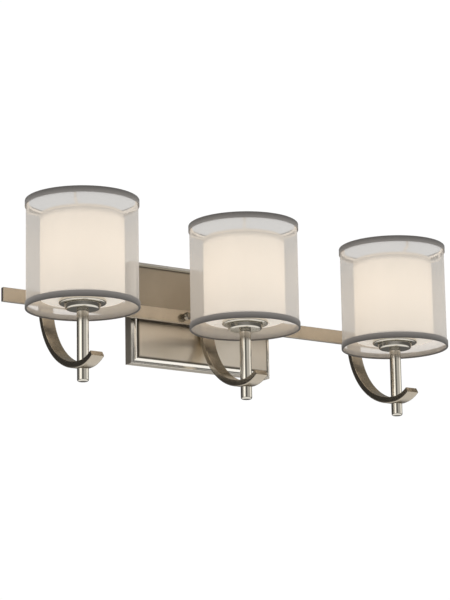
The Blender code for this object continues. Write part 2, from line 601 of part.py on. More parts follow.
def make_backplate():
    """Pressed backplate: side wall, hollow moulding, bevelled step and flat panel."""
    bm = bmesh.new()
    loops = []
    for inset, depth in plate_rings(PLATE_SHEET)[::-1] + plate_rings(0.0):
        x, z = PLATE_WIDTH / 2 - inset, PLATE_HEIGHT / 2 - inset
        corners = ((-x, -z), (x, -z), (x, z), (-x, z))
        loops.append([bm.verts.new((a, -depth, PLATE_RISE + b)) for a, b in corners])
    bm.faces.new(loops[0])
    bm.faces.new(loops[-1][::-1])
    for loop, following in zip(loops, loops[1:]):
        for step in range(4):
            after = (step + 1) % 4
            bm.faces.new([loop[step], loop[after], following[after], following[step]])
    plate = add_piece("backplate", bm, "antique_nickel", smooth=False)
    depth = -PANEL_FACE
    hole = STUD_DIAMETER + 2 * SLIDE_FIT
    for number, x in enumerate((-STUD_SPACING / 2, STUD_SPACING / 2)):
        drill(plate, "cut_plate_stud_%d" % number, hole, -PLATE_STEP - CUT, PLATE_STEP + CUT,
              (x, depth, 0), "Y")
    for number, x in enumerate((-WIRE_HOLE_OFFSET, WIRE_HOLE_OFFSET)):
        drill(plate, "cut_plate_wire_%d" % number, WIRE_HOLE_DIAMETER, -PLATE_STEP - CUT,
              PLATE_STEP + CUT, (x, depth, -GROOVE_DROP), "Y")


def make_fixings():
    """Mounting strap, its earth screw, the two studs, their spacers and the ball nuts."""
    half, high = STRAP_LENGTH / 2, STRAP_HEIGHT / 2
    strap = box("mounting_strap", (-half, -STRAP_THICKNESS, -high), (half, 0, high), "plated_steel")
    for number, sign in enumerate((-1, 1)):
        x = sign * STRAP_SLOT_SPACING / 2
        slot = box_bmesh((x - STRAP_SLOT_LENGTH / 2, -STRAP_THICKNESS - CUT, -STRAP_SLOT_HEIGHT / 2),
                         (x + STRAP_SLOT_LENGTH / 2, CUT, STRAP_SLOT_HEIGHT / 2))
        boolean(strap, as_cutter(add_piece("cut_strap_slot_%d" % number, slot, None)))
    hole = STUD_DIAMETER + 2 * SLIDE_FIT
    radius, ball = STUD_DIAMETER / 2, BALL_DIAMETER / 2
    tip = BAR_FRONT + STUD_LENGTH_OUT
    seat = BAR_FRONT + GAP
    centre = seat + BALL_CENTRE
    for side, sign in (("left", -1), ("right", 1)):
        x = sign * STUD_SPACING / 2
        drill(strap, "cut_strap_stud_" + side, hole, -CUT, STRAP_THICKNESS + CUT, (x, 0, 0), "Y")
        profile = [(0, GAP), (radius, GAP), (radius, tip - THREAD_CHAMFER), (radius - THREAD_CHAMFER, tip),
                   (0, tip)]
        turned("stud_" + side, profile, "plated_steel", 14, "Y", at=(x, 0, 0))
        back, front = PANEL_FACE + GAP, BAR_BACK - GAP
        outer = SPACER_DIAMETER / 2
        profile = [(hole / 2, back), (outer, back), (outer, front), (hole / 2, front)]
        turned("spacer_" + side, profile, "plated_steel", 14, "Y", at=(x, 0, 0))
        bore = radius + SLIDE_FIT
        collar, shoulder = COLLAR_DIAMETER / 2, seat + COLLAR_HEIGHT
        profile = [(bore, seat), (collar, seat), (collar, shoulder)]
        start = math.degrees(math.acos((centre - shoulder) / ball))
        steps = 5
        for step in range(steps):
            turn = math.radians(start + (180 - start) * step / steps)
            profile.append((ball * math.sin(turn), centre - ball * math.cos(turn)))
        profile += [(0, centre + ball), (0, tip + NUT_BOTTOM), (bore, tip + NUT_BOTTOM)]
        turned("ball_nut_" + side, profile, "antique_nickel", 16, "Y", at=(x, 0, 0))
    earth_x = STUD_SPACING / 2 - EARTH_INSET
    hole = EARTH_SHANK + 2 * SLIDE_FIT
    drill(strap, "cut_strap_earth", hole, -CUT, STRAP_THICKNESS + CUT, (earth_x, 0, 0), "Y")
    shank, head, back = EARTH_SHANK / 2, EARTH_HEAD / 2, STRAP_THICKNESS + GAP
    front = back + EARTH_HEAD_HEIGHT
    profile = [(0, GAP), (shank, GAP), (shank, back), (head, back), (head, back + EARTH_HEAD_SIDE),
               (head - EARTH_HEAD_EDGE, front), (0, front)]
    screw = turned("earth_screw", profile, "green_screw", 14, "Y", at=(earth_x, 0, 0))
    slot = box_bmesh((earth_x - head - CUT, -front - CUT, -DRIVER_SLOT / 2),
                     (earth_x + head + CUT, -front + DRIVER_SLOT_DEPTH, DRIVER_SLOT / 2))
    boolean(screw, as_cutter(add_piece("cut_earth_slot", slot, None)))


def make_lamp(side, x):
    lamp = bpy.data.objects.new("lamp_axis_" + side, None)
    bpy.context.scene.collection.objects.link(lamp)
    lamp.location = Vector((x, -LAMP_REACH, 0)) * MM
    for build in (make_arm, make_arm_screw, make_stem, make_finial, make_cup, make_socket, make_bulb,
                  make_drum, make_hanger, make_shade):
        build(side, lamp)
    make_lead(side, x)


def main():
    clear_scene()
    make_fixings()
    make_backplate()
    make_bar()
    for side, x in LAMPS.items():
        make_lamp(side, x)


main()
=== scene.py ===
"""Vanity light bar with three lamps: finished surfaces for the packed frame, laid out as an add-on.

X runs along the bar, +Y points into the wall and +Z is up. Outlines are in millimetres, and a piece is
scaled to metres when its mesh is made.
"""

import math

import bmesh
import bpy
from bpy.props import FloatProperty, FloatVectorProperty, IntProperty, PointerProperty
from mathutils import Matrix, Quaternion, Vector


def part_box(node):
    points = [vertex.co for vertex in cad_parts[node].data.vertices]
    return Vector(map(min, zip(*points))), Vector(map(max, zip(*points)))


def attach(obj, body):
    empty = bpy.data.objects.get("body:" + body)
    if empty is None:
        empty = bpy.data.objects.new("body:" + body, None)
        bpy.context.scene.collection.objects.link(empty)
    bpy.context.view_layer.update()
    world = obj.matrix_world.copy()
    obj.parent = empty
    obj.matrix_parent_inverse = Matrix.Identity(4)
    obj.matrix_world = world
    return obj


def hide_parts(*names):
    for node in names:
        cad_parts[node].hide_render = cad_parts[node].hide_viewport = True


bl_info = {
    "name": "Vanity Light Bar",
    "version": (1, 0, 0),
    "blender": (4, 5, 0),
    "location": "3D View > Sidebar > Light Bar",
    "description": "Builds a three-lamp vanity light bar with its studio stage",
    "category": "Object",
}

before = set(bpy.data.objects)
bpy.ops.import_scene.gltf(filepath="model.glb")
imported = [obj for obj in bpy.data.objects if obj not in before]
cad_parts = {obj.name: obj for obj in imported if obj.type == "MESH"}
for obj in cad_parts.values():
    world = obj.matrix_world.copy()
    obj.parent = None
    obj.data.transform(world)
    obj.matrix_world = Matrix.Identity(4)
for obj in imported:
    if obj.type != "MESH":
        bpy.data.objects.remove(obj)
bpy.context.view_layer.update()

MM = 0.001
SIDES = ("left", "middle", "right")
FIXTURE = "fixture"
SHARP_ANGLE = math.radians(38)
FIT = 0.3                    # clearance between pieces that touch
PLATE_SHEET = 1.2            # thickness of the pressed plate
PLATE_EDGE = 0.35            # easing of the plate's folds
WIRE_HOLE = 5.0              # radius of the two wire holes in the plate
WIRE_HOLE_X = 17.5
GROOVE = (-6.4, -2.4)        # lower and upper side of the wire groove in the bar's back
GROOVE_DEPTH = 3.4
GROOVE_END = 2.5             # groove past the outer lamp axes
STRAP_SLOT_X = 44.5
STRAP_SLOT = (5.0, 2.3)      # half length and half height
SCREW_HOLE = 2.3             # radius of the arm screw's hole
SCREW_HOLE_DEPTH = 3.8
DRIVER_SLOT = 0.5            # half width of a screw's slot
STEM_BORE = 5.3              # radius
NIPPLE_BORE = 3.2            # radius
SOCKET_BORE = 13.8           # radius
SOCKET_FLOOR = 10.0


def corners(node):
    """Lowest and highest corner of a frame node, in millimetres."""
    low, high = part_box(node)
    return low / MM, high / MM


def lamp_axis(side):
    """Where a lamp's upright axis stands: x and y."""
    low, high = corners("diffuser_" + side)
    return (low.x + high.x) / 2, (low.y + high.y) / 2


def round_size(node):
    """Radius, lowest and highest point of an upright round node."""
    low, high = corners(node)
    return (high.x - low.x) / 2, low.z, high.z


# Sizes and colours ---------------------------------------------------------------------------------
def length_property(name, description, default_mm):
    return FloatProperty(name=name, description=description, default=default_mm * MM, min=0.0,
                         unit="LENGTH", precision=4)


def colour_property(name, description, default):
    return FloatVectorProperty(name=name, description=description, default=default, size=3,
                               min=0.0, max=1.0, subtype="COLOR")


class LIGHTBAR_PG_sizes(bpy.types.PropertyGroup):
    """Sizes of the pieces that the frame's boxes don't give by themselves."""
    bow_radius: length_property("Bow radius", "Centre line of the arm's bow", 87.9)
    bow_reach: length_property("Bow reach", "Centre of the bow from the wall", 110.0)
    arm_thickness: length_property("Arm thickness", "Thickness of the flat arm", 7.4)
    arm_edge: length_property("Arm edge", "Rounding of the arm's convex edges", 1.9)
    toe_radius: length_property("Toe radius", "Centre line of the upturned toe", 44.0)
    toe_angle: FloatProperty(name="Toe angle", description="How far the toe turns up past the bottom",
                             default=math.radians(34.0), unit="ROTATION")
    bar_edge: length_property("Bar edge", "Rounding of the bar's edges", 0.8)
    plate_cove: length_property("Plate moulding", "Width of the hollow moulding round the panel", 6.0)
    plate_rise: length_property("Moulding rise", "How far the moulding stands out from the side wall", 4.6)
    plate_step: length_property("Panel step", "Bevelled step from the moulding up to the panel", 0.8)
    drum_wall: length_property("Drum wall", "Thickness of the opal drum", 3.0)
    seam_overlap: length_property("Seam overlap", "How far the sheer laps over itself at its seam", 3.2)
    thread_pitch: length_property("Thread pitch", "Pitch of the threads on studs and nipples", 1.0)
    clamp_ribs: IntProperty(name="Clamp ribs", description="Grip ribs round each clamp ring",
                            default=36, min=8)
    hanger_arms: IntProperty(name="Hanger arms", description="Cranked arms that carry each shade",
                             default=4, min=3)


class LIGHTBAR_PG_colours(bpy.types.PropertyGroup):
    """Base colours of the finishes."""
    flat_nickel: colour_property("Flat nickel", "Brushed nickel of the bar, plate and arms",
                                 (0.50, 0.445, 0.365))
    turned_nickel: colour_property("Turned nickel", "Brighter nickel of the turned pieces",
                                   (0.72, 0.69, 0.62))
    steel: colour_property("Steel", "Plated steel of the fixings", (0.62, 0.61, 0.58))
    green: colour_property("Earth green", "Green lacquer of the earth screw", (0.05, 0.30, 0.12))
    sheer: colour_property("Sheer", "Thread colour of the outer shade", (0.61, 0.585, 0.555))
    tape: colour_property("Tape", "Grey tape on the rims", (0.29, 0.275, 0.265))
    opal: colour_property("Opal", "Opal glass of the drum", (0.93, 0.89, 0.84))
    # Glow colours the lamp's light, and the painted glow on the drums and hangers that stands in for it.
    glow: colour_property("Glow", "Warm light in the drum and the lamp", (1.0, 0.86, 0.70))
    hanger: colour_property("Hanger", "Satin enamel of the hanger", (0.78, 0.76, 0.73))
    porcelain: colour_property("Porcelain", "Socket and clamp ring", (0.86, 0.84, 0.80))
    sleeve: colour_property("Sleeve", "Braided sleeve of the leads", (0.05, 0.05, 0.05))


def sizes():
    return bpy.context.scene.lightbar_sizes


def colours():
    return bpy.context.scene.lightbar_colours


def mm(length):
    return length / MM


# Outlines and meshes -------------------------------------------------------------------------------
def rounded(outline, steps=4):
    """Closed outline of (a, b, radius) corners, each corner drawn as an arc of its radius."""
    points = []
    for index, (a, b, radius) in enumerate(outline):
        corner = Vector((a, b))
        if radius <= 0:
            points.append(corner)
            continue
        before = (Vector(outline[index - 1][:2]) - corner).normalized()
        after = (Vector(outline[(index + 1) % len(outline)][:2]) - corner).normalized()
        half = before.angle(after) / 2
        centre = corner + (before + after).normalized() * radius / math.sin(half)
        start = corner + before * radius / math.tan(half) - centre
        end = corner + after * radius / math.tan(half) - centre
        for step in range(steps + 1):
            points.append(centre + start.lerp(end, step / steps).normalized() * radius)
    return points


def lathe(outline, segments=72, axis="Z"):
    """Turn a closed outline of (radius, height) about an axis; radius 0 closes to a pole."""
    bm = bmesh.new()
    rings = []
    for radius, height in outline:
        if radius < 1e-6:
            rings.append([bm.verts.new((0, 0, height))] * segments)
            continue
        rings.append([bm.verts.new((radius * math.cos(2 * math.pi * step / segments),
                                    radius * math.sin(2 * math.pi * step / segments), height))
                      for step in range(segments)])
    for ring, following in zip(rings, rings[1:] + rings[:1]):
        for step in range(segments):
            after = (step + 1) % segments
            face = list(dict.fromkeys([ring[step], ring[after], following[after], following[step]]))
            if len(face) > 2:
                bm.faces.new(face)
    if axis == "Y":
        bmesh.ops.rotate(bm, verts=bm.verts, matrix=Matrix.Rotation(math.radians(90), 3, "X"))
    return bm


def block(low, high, edge=0.0, steps=3):
    """Box between two corners with rounded edges."""
    bm = bmesh.new()
    bmesh.ops.create_cube(bm, size=1.0)
    low, high = Vector(low), Vector(high)
    bmesh.ops.scale(bm, vec=high - low, verts=bm.verts)
    bmesh.ops.translate(bm, vec=(low + high) / 2, verts=bm.verts)
    if edge:
        bmesh.ops.bevel(bm, geom=bm.edges[:], offset=edge, segments=steps, profile=0.5,
                        affect="EDGES")
    return bm


def sweep(path, section):
    """Carry a closed section of (across, outward) points along (y, z, outward y, outward z, inset)."""
    bm = bmesh.new()
    rings = []
    middle = sum((Vector(point) for point in section), Vector((0, 0))) / len(section)
    reach = max(abs(across - middle.x) for across, _ in section)
    for y, z, out_y, out_z, inset in path:
        shrink = 1 - inset / reach
        ring = []
        for across, out in section:
            across, out = across * shrink, middle.y + (out - middle.y) * shrink
            ring.append(bm.verts.new((across, y + out * out_y, z + out * out_z)))
        rings.append(ring)
    for ring, following in zip(rings, rings[1:]):
        for step in range(len(section)):
            after = (step + 1) % len(section)
            bm.faces.new([ring[step], ring[after], following[after], following[step]])
    bm.faces.new(rings[0])
    bm.faces.new(rings[-1][::-1])
    return bm


def new_object(name, bm, at=(0, 0, 0)):
    """Object at the origin whose mesh holds the piece's place, in metres."""
    bmesh.ops.translate(bm, vec=at, verts=bm.verts)
    bmesh.ops.scale(bm, vec=(MM, MM, MM), verts=bm.verts)
    bmesh.ops.recalc_face_normals(bm, faces=bm.faces)
    mesh = bpy.data.meshes.new(name)
    bm.to_mesh(mesh)
    bm.free()
    piece = bpy.data.objects.new(name, mesh)
    bpy.context.scene.collection.objects.link(piece)
    return piece


def settle(piece):
    """Turn the piece and its modifiers into one plain mesh."""
    evaluated = piece.evaluated_get(bpy.context.evaluated_depsgraph_get())
    mesh = bpy.data.meshes.new_from_object(evaluated)
    old = piece.data
    piece.modifiers.clear()
    piece.data = mesh
    mesh.name = piece.name
    bpy.data.meshes.remove(old)
    return piece


def carve(piece, cutters):
    """Cut the given bmeshes away from the piece."""
    tools = []
    for bm, at in cutters:
        tool = new_object("cutter", bm, at)
        step = piece.modifiers.new("Carve", "BOOLEAN")
        step.operation = "DIFFERENCE"
        step.solver = "EXACT"
        step.object = tool
        tools.append(tool)
    settle(piece)
    for tool in tools:
        bpy.data.objects.remove(tool, do_unlink=True)
    return piece


def turned_grain(centre, axis="Z"):
    """Grain round an upright or a Y axis: two slow directions, then the fine one across it."""
    def place(point):
        x, y, z = (point - Vector(centre))
        if axis == "Z":
            return x, y, z + math.hypot(x, y)
        return x, z, y + math.hypot(x, z)
    return place


def bar_grain(point):
    return point.x, 0.0, point.z + point.y


def arm_grain(point):
    turn = math.atan2(point.z, point.y + mm(sizes().bow_reach))
    return turn * mm(sizes().bow_radius), 0.0, point.x + 0.5 * point.y


def finish_piece(piece, material, grain, smooth=True, body=FIXTURE, slot=None, replaces=()):
    """Smooth the piece, note the direction of its grain, and let it ride on its body."""
    mesh = piece.data
    if smooth:
        mesh.shade_smooth()
        mesh.set_sharp_from_angle(angle=SHARP_ANGLE)
        step = piece.modifiers.new("Flat faces", "WEIGHTED_NORMAL")
        step.keep_sharp = True
        step.weight = 90
        settle(piece)
        mesh = piece.data
    field = mesh.attributes.new("grain", "FLOAT_VECTOR", "POINT")
    values = [part * MM for vertex in mesh.vertices for part in grain(vertex.co / MM)]
    field.data.foreach_set("vector", values)
    mesh.materials.clear()
    mesh.materials.append(material)
    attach(piece, body)
    if replaces:
        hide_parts(*replaces)
    return piece


def turned_piece(name, outline, material, at, segments=72, axis="Z", steps=4, cutters=(), **finish):
    """Finished piece turned about an axis through a point."""
    piece = new_object(name, lathe(rounded(outline, steps), segments, axis), at)
    if cutters:
        carve(piece, cutters)
    return finish_piece(piece, material, turned_grain(at, axis), **finish)


# Geometry Nodes ------------------------------------------------------------------------------------
def new_tree(name, inputs):
    """Geometry tree with named inputs of (name, socket type, default)."""
    tree = bpy.data.node_groups.new(name, "GeometryNodeTree")
    tree.interface.new_socket("Geometry", in_out="OUTPUT", socket_type="NodeSocketGeometry")
    tree.interface.new_socket("Geometry", in_out="INPUT", socket_type="NodeSocketGeometry")
    for label, kind, default in inputs:
        socket = tree.interface.new_socket(label, in_out="INPUT", socket_type=kind)
        if default is not None:
            socket.default_value = default
    tree.interface.new_socket("Material", in_out="INPUT", socket_type="NodeSocketMaterial")
    return tree, tree.nodes.new("NodeGroupInput"), tree.nodes.new("NodeGroupOutput")


def close_tree(tree, source, group_in, group_out):
    """End the tree in Realize Instances and Set Material."""
    realize = tree.nodes.new("GeometryNodeRealizeInstances")
    paint = tree.nodes.new("GeometryNodeSetMaterial")
    tree.links.new(source, realize.inputs["Geometry"])
    tree.links.new(realize.outputs["Geometry"], paint.inputs["Geometry"])
    tree.links.new(group_in.outputs["Material"], paint.inputs["Material"])
    tree.links.new(paint.outputs["Geometry"], group_out.inputs["Geometry"])


def thread_tree():
    """Helical ridge: one triangular section carried up a spiral."""
    name = "Thread ridge"
    if name in bpy.data.node_groups:
        return bpy.data.node_groups[name]
    tree, group_in, group_out = new_tree(name, [
        ("Radius", "NodeSocketFloat", 0.002), ("Height", "NodeSocketFloat", 0.01),
        ("Turns", "NodeSocketFloat", 8.0), ("Ridge", "NodeSocketFloat", 0.0003)])
    spiral = tree.nodes.new("GeometryNodeCurveSpiral")
    spiral.inputs["Resolution"].default_value = 24
    section = tree.nodes.new("GeometryNodeCurvePrimitiveCircle")
    section.inputs["Resolution"].default_value = 4
    carry = tree.nodes.new("GeometryNodeCurveToMesh")
    carry.inputs["Fill Caps"].default_value = True
    link = tree.links.new
    link(group_in.outputs["Radius"], spiral.inputs["Start Radius"])
    link(group_in.outputs["Radius"], spiral.inputs["End Radius"])
    link(group_in.outputs["Height"], spiral.inputs["Height"])
    link(group_in.outputs["Turns"], spiral.inputs["Rotations"])
    link(group_in.outputs["Ridge"], section.inputs["Radius"])
    link(spiral.outputs["Curve"], carry.inputs["Curve"])
    link(section.outputs["Curve"], carry.inputs["Profile Curve"])
    close_tree(tree, carry.outputs["Mesh"], group_in, group_out)
    return tree


def radial_tree():
    """Copies of one element set evenly round the upright axis."""
    name = "Round the axis"
    if name in bpy.data.node_groups:
        return bpy.data.node_groups[name]
    tree, group_in, group_out = new_tree(name, [
        ("Count", "NodeSocketInt", 12), ("Turn", "NodeSocketFloat", 0.0)])
    points = tree.nodes.new("GeometryNodeMeshLine")
    points.inputs["Offset"].default_value = (0, 0, 0)
    index = tree.nodes.new("GeometryNodeInputIndex")
    share = tree.nodes.new("ShaderNodeMath")
    share.operation = "DIVIDE"
    angle = tree.nodes.new("ShaderNodeMath")
    angle.operation = "MULTIPLY_ADD"
    angle.inputs[1].default_value = 2 * math.pi
    euler = tree.nodes.new("ShaderNodeCombineXYZ")
    copies = tree.nodes.new("GeometryNodeInstanceOnPoints")
    link = tree.links.new
    link(group_in.outputs["Count"], points.inputs["Count"])
    link(index.outputs["Index"], share.inputs[0])
    link(group_in.outputs["Count"], share.inputs[1])
    link(share.outputs["Value"], angle.inputs[0])
    link(group_in.outputs["Turn"], angle.inputs[2])
    link(angle.outputs["Value"], euler.inputs["Z"])
    link(points.outputs["Mesh"], copies.inputs["Points"])
    link(group_in.outputs["Geometry"], copies.inputs["Instance"])
    link(euler.outputs["Vector"], copies.inputs["Rotation"])
    close_tree(tree, copies.outputs["Instances"], group_in, group_out)
    return tree


def grow(piece, tree, material, **values):
    """Run a geometry tree on the piece and keep its plain mesh."""
    step = piece.modifiers.new(tree.name, "NODES")
    step.node_group = tree
    by_name = {item.name: item.identifier for item in tree.interface.items_tree
               if item.item_type == "SOCKET" and item.in_out == "INPUT"}
    for label, value in values.items():
        step[by_name[label]] = value
    step[by_name["Material"]] = material
    return settle(piece)


def thread_piece(name, material, radius, length, ridge, at, axis="Z", pitch=None, **finish):
    """Finished helical thread on a shank that starts at a point."""
    piece = new_object(name, bmesh.new())
    turns = length / (pitch or mm(sizes().thread_pitch))
    grow(piece, thread_tree(), material, Radius=radius * MM, Height=length * MM, Turns=turns,
         Ridge=ridge * MM)
    if axis == "Y":
        piece.data.transform(Matrix.Rotation(math.radians(90), 4, "X"))
    piece.data.transform(Matrix.Translation(Vector(at) * MM))
    return finish_piece(piece, material, turned_grain(at, axis), **finish)


def radial_piece(name, element, material, count, turn, at, **finish):
    """Finished ring of copies of one element about an upright axis through a point."""
    piece = new_object(name, element)
    grow(piece, radial_tree(), material, Count=count, Turn=turn)
    piece.data.transform(Matrix.Translation(Vector(at) * MM))
    return finish_piece(piece, material, turned_grain(at), **finish)


# Shader node groups --------------------------------------------------------------------------------
class NodeBench:
    """Short calls for adding and linking nodes in one tree."""

    def __init__(self, tree):
        self.tree = tree

    def add(self, kind, **settings):
        node = self.tree.nodes.new(kind)
        for name, value in settings.items():
            setattr(node, name, value)
        return node

    def join(self, source, target):
        self.tree.links.new(source, target)

    def feed(self, value, socket):
        """Link a socket, or set a plain value."""
        if isinstance(value, bpy.types.NodeSocket):
            self.join(value, socket)
        else:
            socket.default_value = value

    def math(self, operation, *values):
        node = self.add("ShaderNodeMath", operation=operation)
        for value, socket in zip(values, node.inputs):
            self.feed(value, socket)
        return node.outputs[0]

    def vector(self, operation, *values):
        node = self.add("ShaderNodeVectorMath", operation=operation)
        for value, socket in zip(values, node.inputs):
            self.feed(value, socket)
        return node.outputs["Value" if operation in ("DOT_PRODUCT", "LENGTH") else "Vector"]

    def noise(self, vector, scale, detail=3.0, roughness=0.5):
        node = self.add("ShaderNodeTexNoise")
        self.feed(vector, node.inputs["Vector"])
        self.feed(scale, node.inputs["Scale"])
        node.inputs["Detail"].default_value = detail
        node.inputs["Roughness"].default_value = roughness
        return node.outputs["Fac"]

    def spread(self, value, low, high, to_low=0.0, to_high=1.0, smooth=False):
        node = self.add("ShaderNodeMapRange")
        if smooth:
            node.interpolation_type = "SMOOTHSTEP"
        for item, socket in zip((value, low, high, to_low, to_high), node.inputs):
            self.feed(item, socket)
        return node.outputs["Result"]

    def mix(self, share, first, second):
        node = self.add("ShaderNodeMix", data_type="RGBA")
        self.feed(share, node.inputs["Factor"])
        self.feed(first, node.inputs["A"])
        self.feed(second, node.inputs["B"])
        return node.outputs["Result"]


def shader_group(name, inputs, outputs):
    """Shader node group with named sockets."""
    tree = bpy.data.node_groups.new(name, "ShaderNodeTree")
    for label, kind, default in inputs:
        socket = tree.interface.new_socket(label, in_out="INPUT", socket_type=kind)
        if default is not None:
            socket.default_value = default
    for label, kind in outputs:
        tree.interface.new_socket(label, in_out="OUTPUT", socket_type=kind)
    bench = NodeBench(tree)
    return tree, bench, bench.add("NodeGroupInput"), bench.add("NodeGroupOutput")


def grain_group():
    """Brushed grain: fine lines along the grain, with slow patches under them."""
    name = "Brushed grain"
    if name in bpy.data.node_groups:
        return bpy.data.node_groups[name]
    tree, bench, group_in, group_out = shader_group(
        name,
        [("Lines per metre", "NodeSocketFloat", 2500.0), ("Stretch", "NodeSocketFloat", 0.03),
         ("Patch scale", "NodeSocketFloat", 40.0)],
        [("Lines", "NodeSocketFloat"), ("Patches", "NodeSocketFloat"), ("Edge", "NodeSocketFloat")])
    field = bench.add("ShaderNodeAttribute", attribute_name="grain").outputs["Vector"]
    stretch = bench.add("ShaderNodeCombineXYZ")
    bench.join(group_in.outputs["Stretch"], stretch.inputs["X"])
    bench.join(group_in.outputs["Stretch"], stretch.inputs["Y"])
    stretch.inputs["Z"].default_value = 1.0
    lines = bench.noise(bench.vector("MULTIPLY", field, stretch.outputs["Vector"]),
                        group_in.outputs["Lines per metre"], detail=2.0, roughness=0.6)
    bench.join(lines, group_out.inputs["Lines"])
    bench.join(bench.noise(field, group_in.outputs["Patch scale"], detail=4.0),
               group_out.inputs["Patches"])
    point = bench.add("ShaderNodeNewGeometry").outputs["Pointiness"]
    bench.join(bench.spread(point, 0.53, 0.62), group_out.inputs["Edge"])
    return tree


def weave_group():
    """Plain weave on the cloth's own lengths: threads that cross, one over and one under."""
    name = "Plain weave"
    if name in bpy.data.node_groups:
        return bpy.data.node_groups[name]
    tree, bench, group_in, group_out = shader_group(
        name,
        [("Threads per metre", "NodeSocketFloat", 2000.0), ("Thread share", "NodeSocketFloat", 0.5),
         ("Slub", "NodeSocketFloat", 0.2)],
        [("Cover", "NodeSocketFloat"), ("Height", "NodeSocketFloat"), ("Slubs", "NodeSocketFloat")])
    place = bench.add("ShaderNodeUVMap", uv_map="cloth").outputs["UV"]
    split = bench.add("ShaderNodeSeparateXYZ")
    bench.join(place, split.inputs["Vector"])
    waves = []
    for direction in ("X", "Y"):
        turn = bench.math("MULTIPLY", bench.math("MULTIPLY", split.outputs[direction], 2 * math.pi),
                          group_in.outputs["Threads per metre"])
        waves.append(bench.math("MULTIPLY_ADD", bench.math("COSINE", turn), 0.5, 0.5))
    height = bench.math("MAXIMUM", waves[0], waves[1])
    gate = bench.math("SUBTRACT", 1.0, group_in.outputs["Thread share"])
    cover = bench.spread(height, gate, bench.math("ADD", gate, 0.25), smooth=True)
    stretch = bench.vector("MULTIPLY", place, (1.0, 0.06, 1.0))
    slubs = bench.noise(stretch, 900.0, detail=2.0)
    amount = bench.math("MULTIPLY", bench.math("SUBTRACT", slubs, 0.5), group_in.outputs["Slub"])
    bench.join(bench.math("ADD", cover, amount), group_out.inputs["Cover"])
    bench.join(height, group_out.inputs["Height"])
    bench.join(slubs, group_out.inputs["Slubs"])
    return tree


def mottle_group():
    """Slow cloudiness and fine orange peel for glazed and lacquered surfaces."""
    name = "Glaze mottle"
    if name in bpy.data.node_groups:
        return bpy.data.node_groups[name]
    tree, bench, group_in, group_out = shader_group(
        name,
        [("Cloud scale", "NodeSocketFloat", 30.0), ("Peel scale", "NodeSocketFloat", 900.0)],
        [("Clouds", "NodeSocketFloat"), ("Peel", "NodeSocketFloat")])
    place = bench.add("ShaderNodeTexCoord").outputs["Object"]
    bench.join(bench.noise(place, group_in.outputs["Cloud scale"], detail=3.0),
               group_out.inputs["Clouds"])
    bench.join(bench.noise(place, group_in.outputs["Peel scale"], detail=2.0),
               group_out.inputs["Peel"])
    return tree


# Materials -----------------------------------------------------------------------------------------
def shade_of(colour, factor):
    return (*[min(1.0, part * factor) for part in colour], 1.0)


def new_material(name, slot):
    """Material with its Principled shader and a bench for its nodes."""
    material = bpy.data.materials.new(name)
    material.use_nodes = True
    material["slot"] = slot
    return material, NodeBench(material.node_tree), material.node_tree.nodes["Principled BSDF"]


def place_group(bench, tree, **values):
    node = bench.add("ShaderNodeGroup", node_tree=tree)
    for label, value in values.items():
        node.inputs[label.replace("_", " ")].default_value = value
    return node


def add_bump(bench, shader, height, strength, distance):
    bump = bench.add("ShaderNodeBump")
    bump.inputs["Strength"].default_value = strength
    bump.inputs["Distance"].default_value = distance
    bench.join(height, bump.inputs["Height"])
    bench.join(bump.outputs["Normal"], shader.inputs["Normal"])


def brushed_metal(name, slot, colour, rough, contrast=0.06, lines=2500.0, bump=0.02):
    """Brushed or plated metal with faint grain, soft patches and brighter edges."""
    if name in bpy.data.materials:
        return bpy.data.materials[name]
    material, bench, shader = new_material(name, slot)
    grain = place_group(bench, grain_group(), Lines_per_metre=lines)
    tone = bench.math("ADD", bench.math("MULTIPLY", grain.outputs["Lines"], 0.5),
                      bench.math("MULTIPLY", grain.outputs["Patches"], 0.5))
    base = bench.mix(bench.spread(tone, 0.35, 0.65), shade_of(colour, 1 - contrast),
                     shade_of(colour, 1 + contrast))
    # Painted highlight: convex edges are mixed towards a brighter copy of the colour.
    bench.join(bench.mix(bench.math("MULTIPLY", grain.outputs["Edge"], 0.5), base,
                         shade_of(colour, 1.35)), shader.inputs["Base Color"])
    roughness = bench.spread(tone, 0.3, 0.7, rough - 0.02, rough + 0.03)
    worn = bench.math("MULTIPLY_ADD", grain.outputs["Edge"], -0.04, roughness)
    bench.join(worn, shader.inputs["Roughness"])
    shader.inputs["Metallic"].default_value = 1.0
    add_bump(bench, shader, grain.outputs["Lines"], bump, 0.00003)
    return material


def nickel():
    return brushed_metal("brushed_flat_nickel", "antique_nickel", colours().flat_nickel, 0.22)


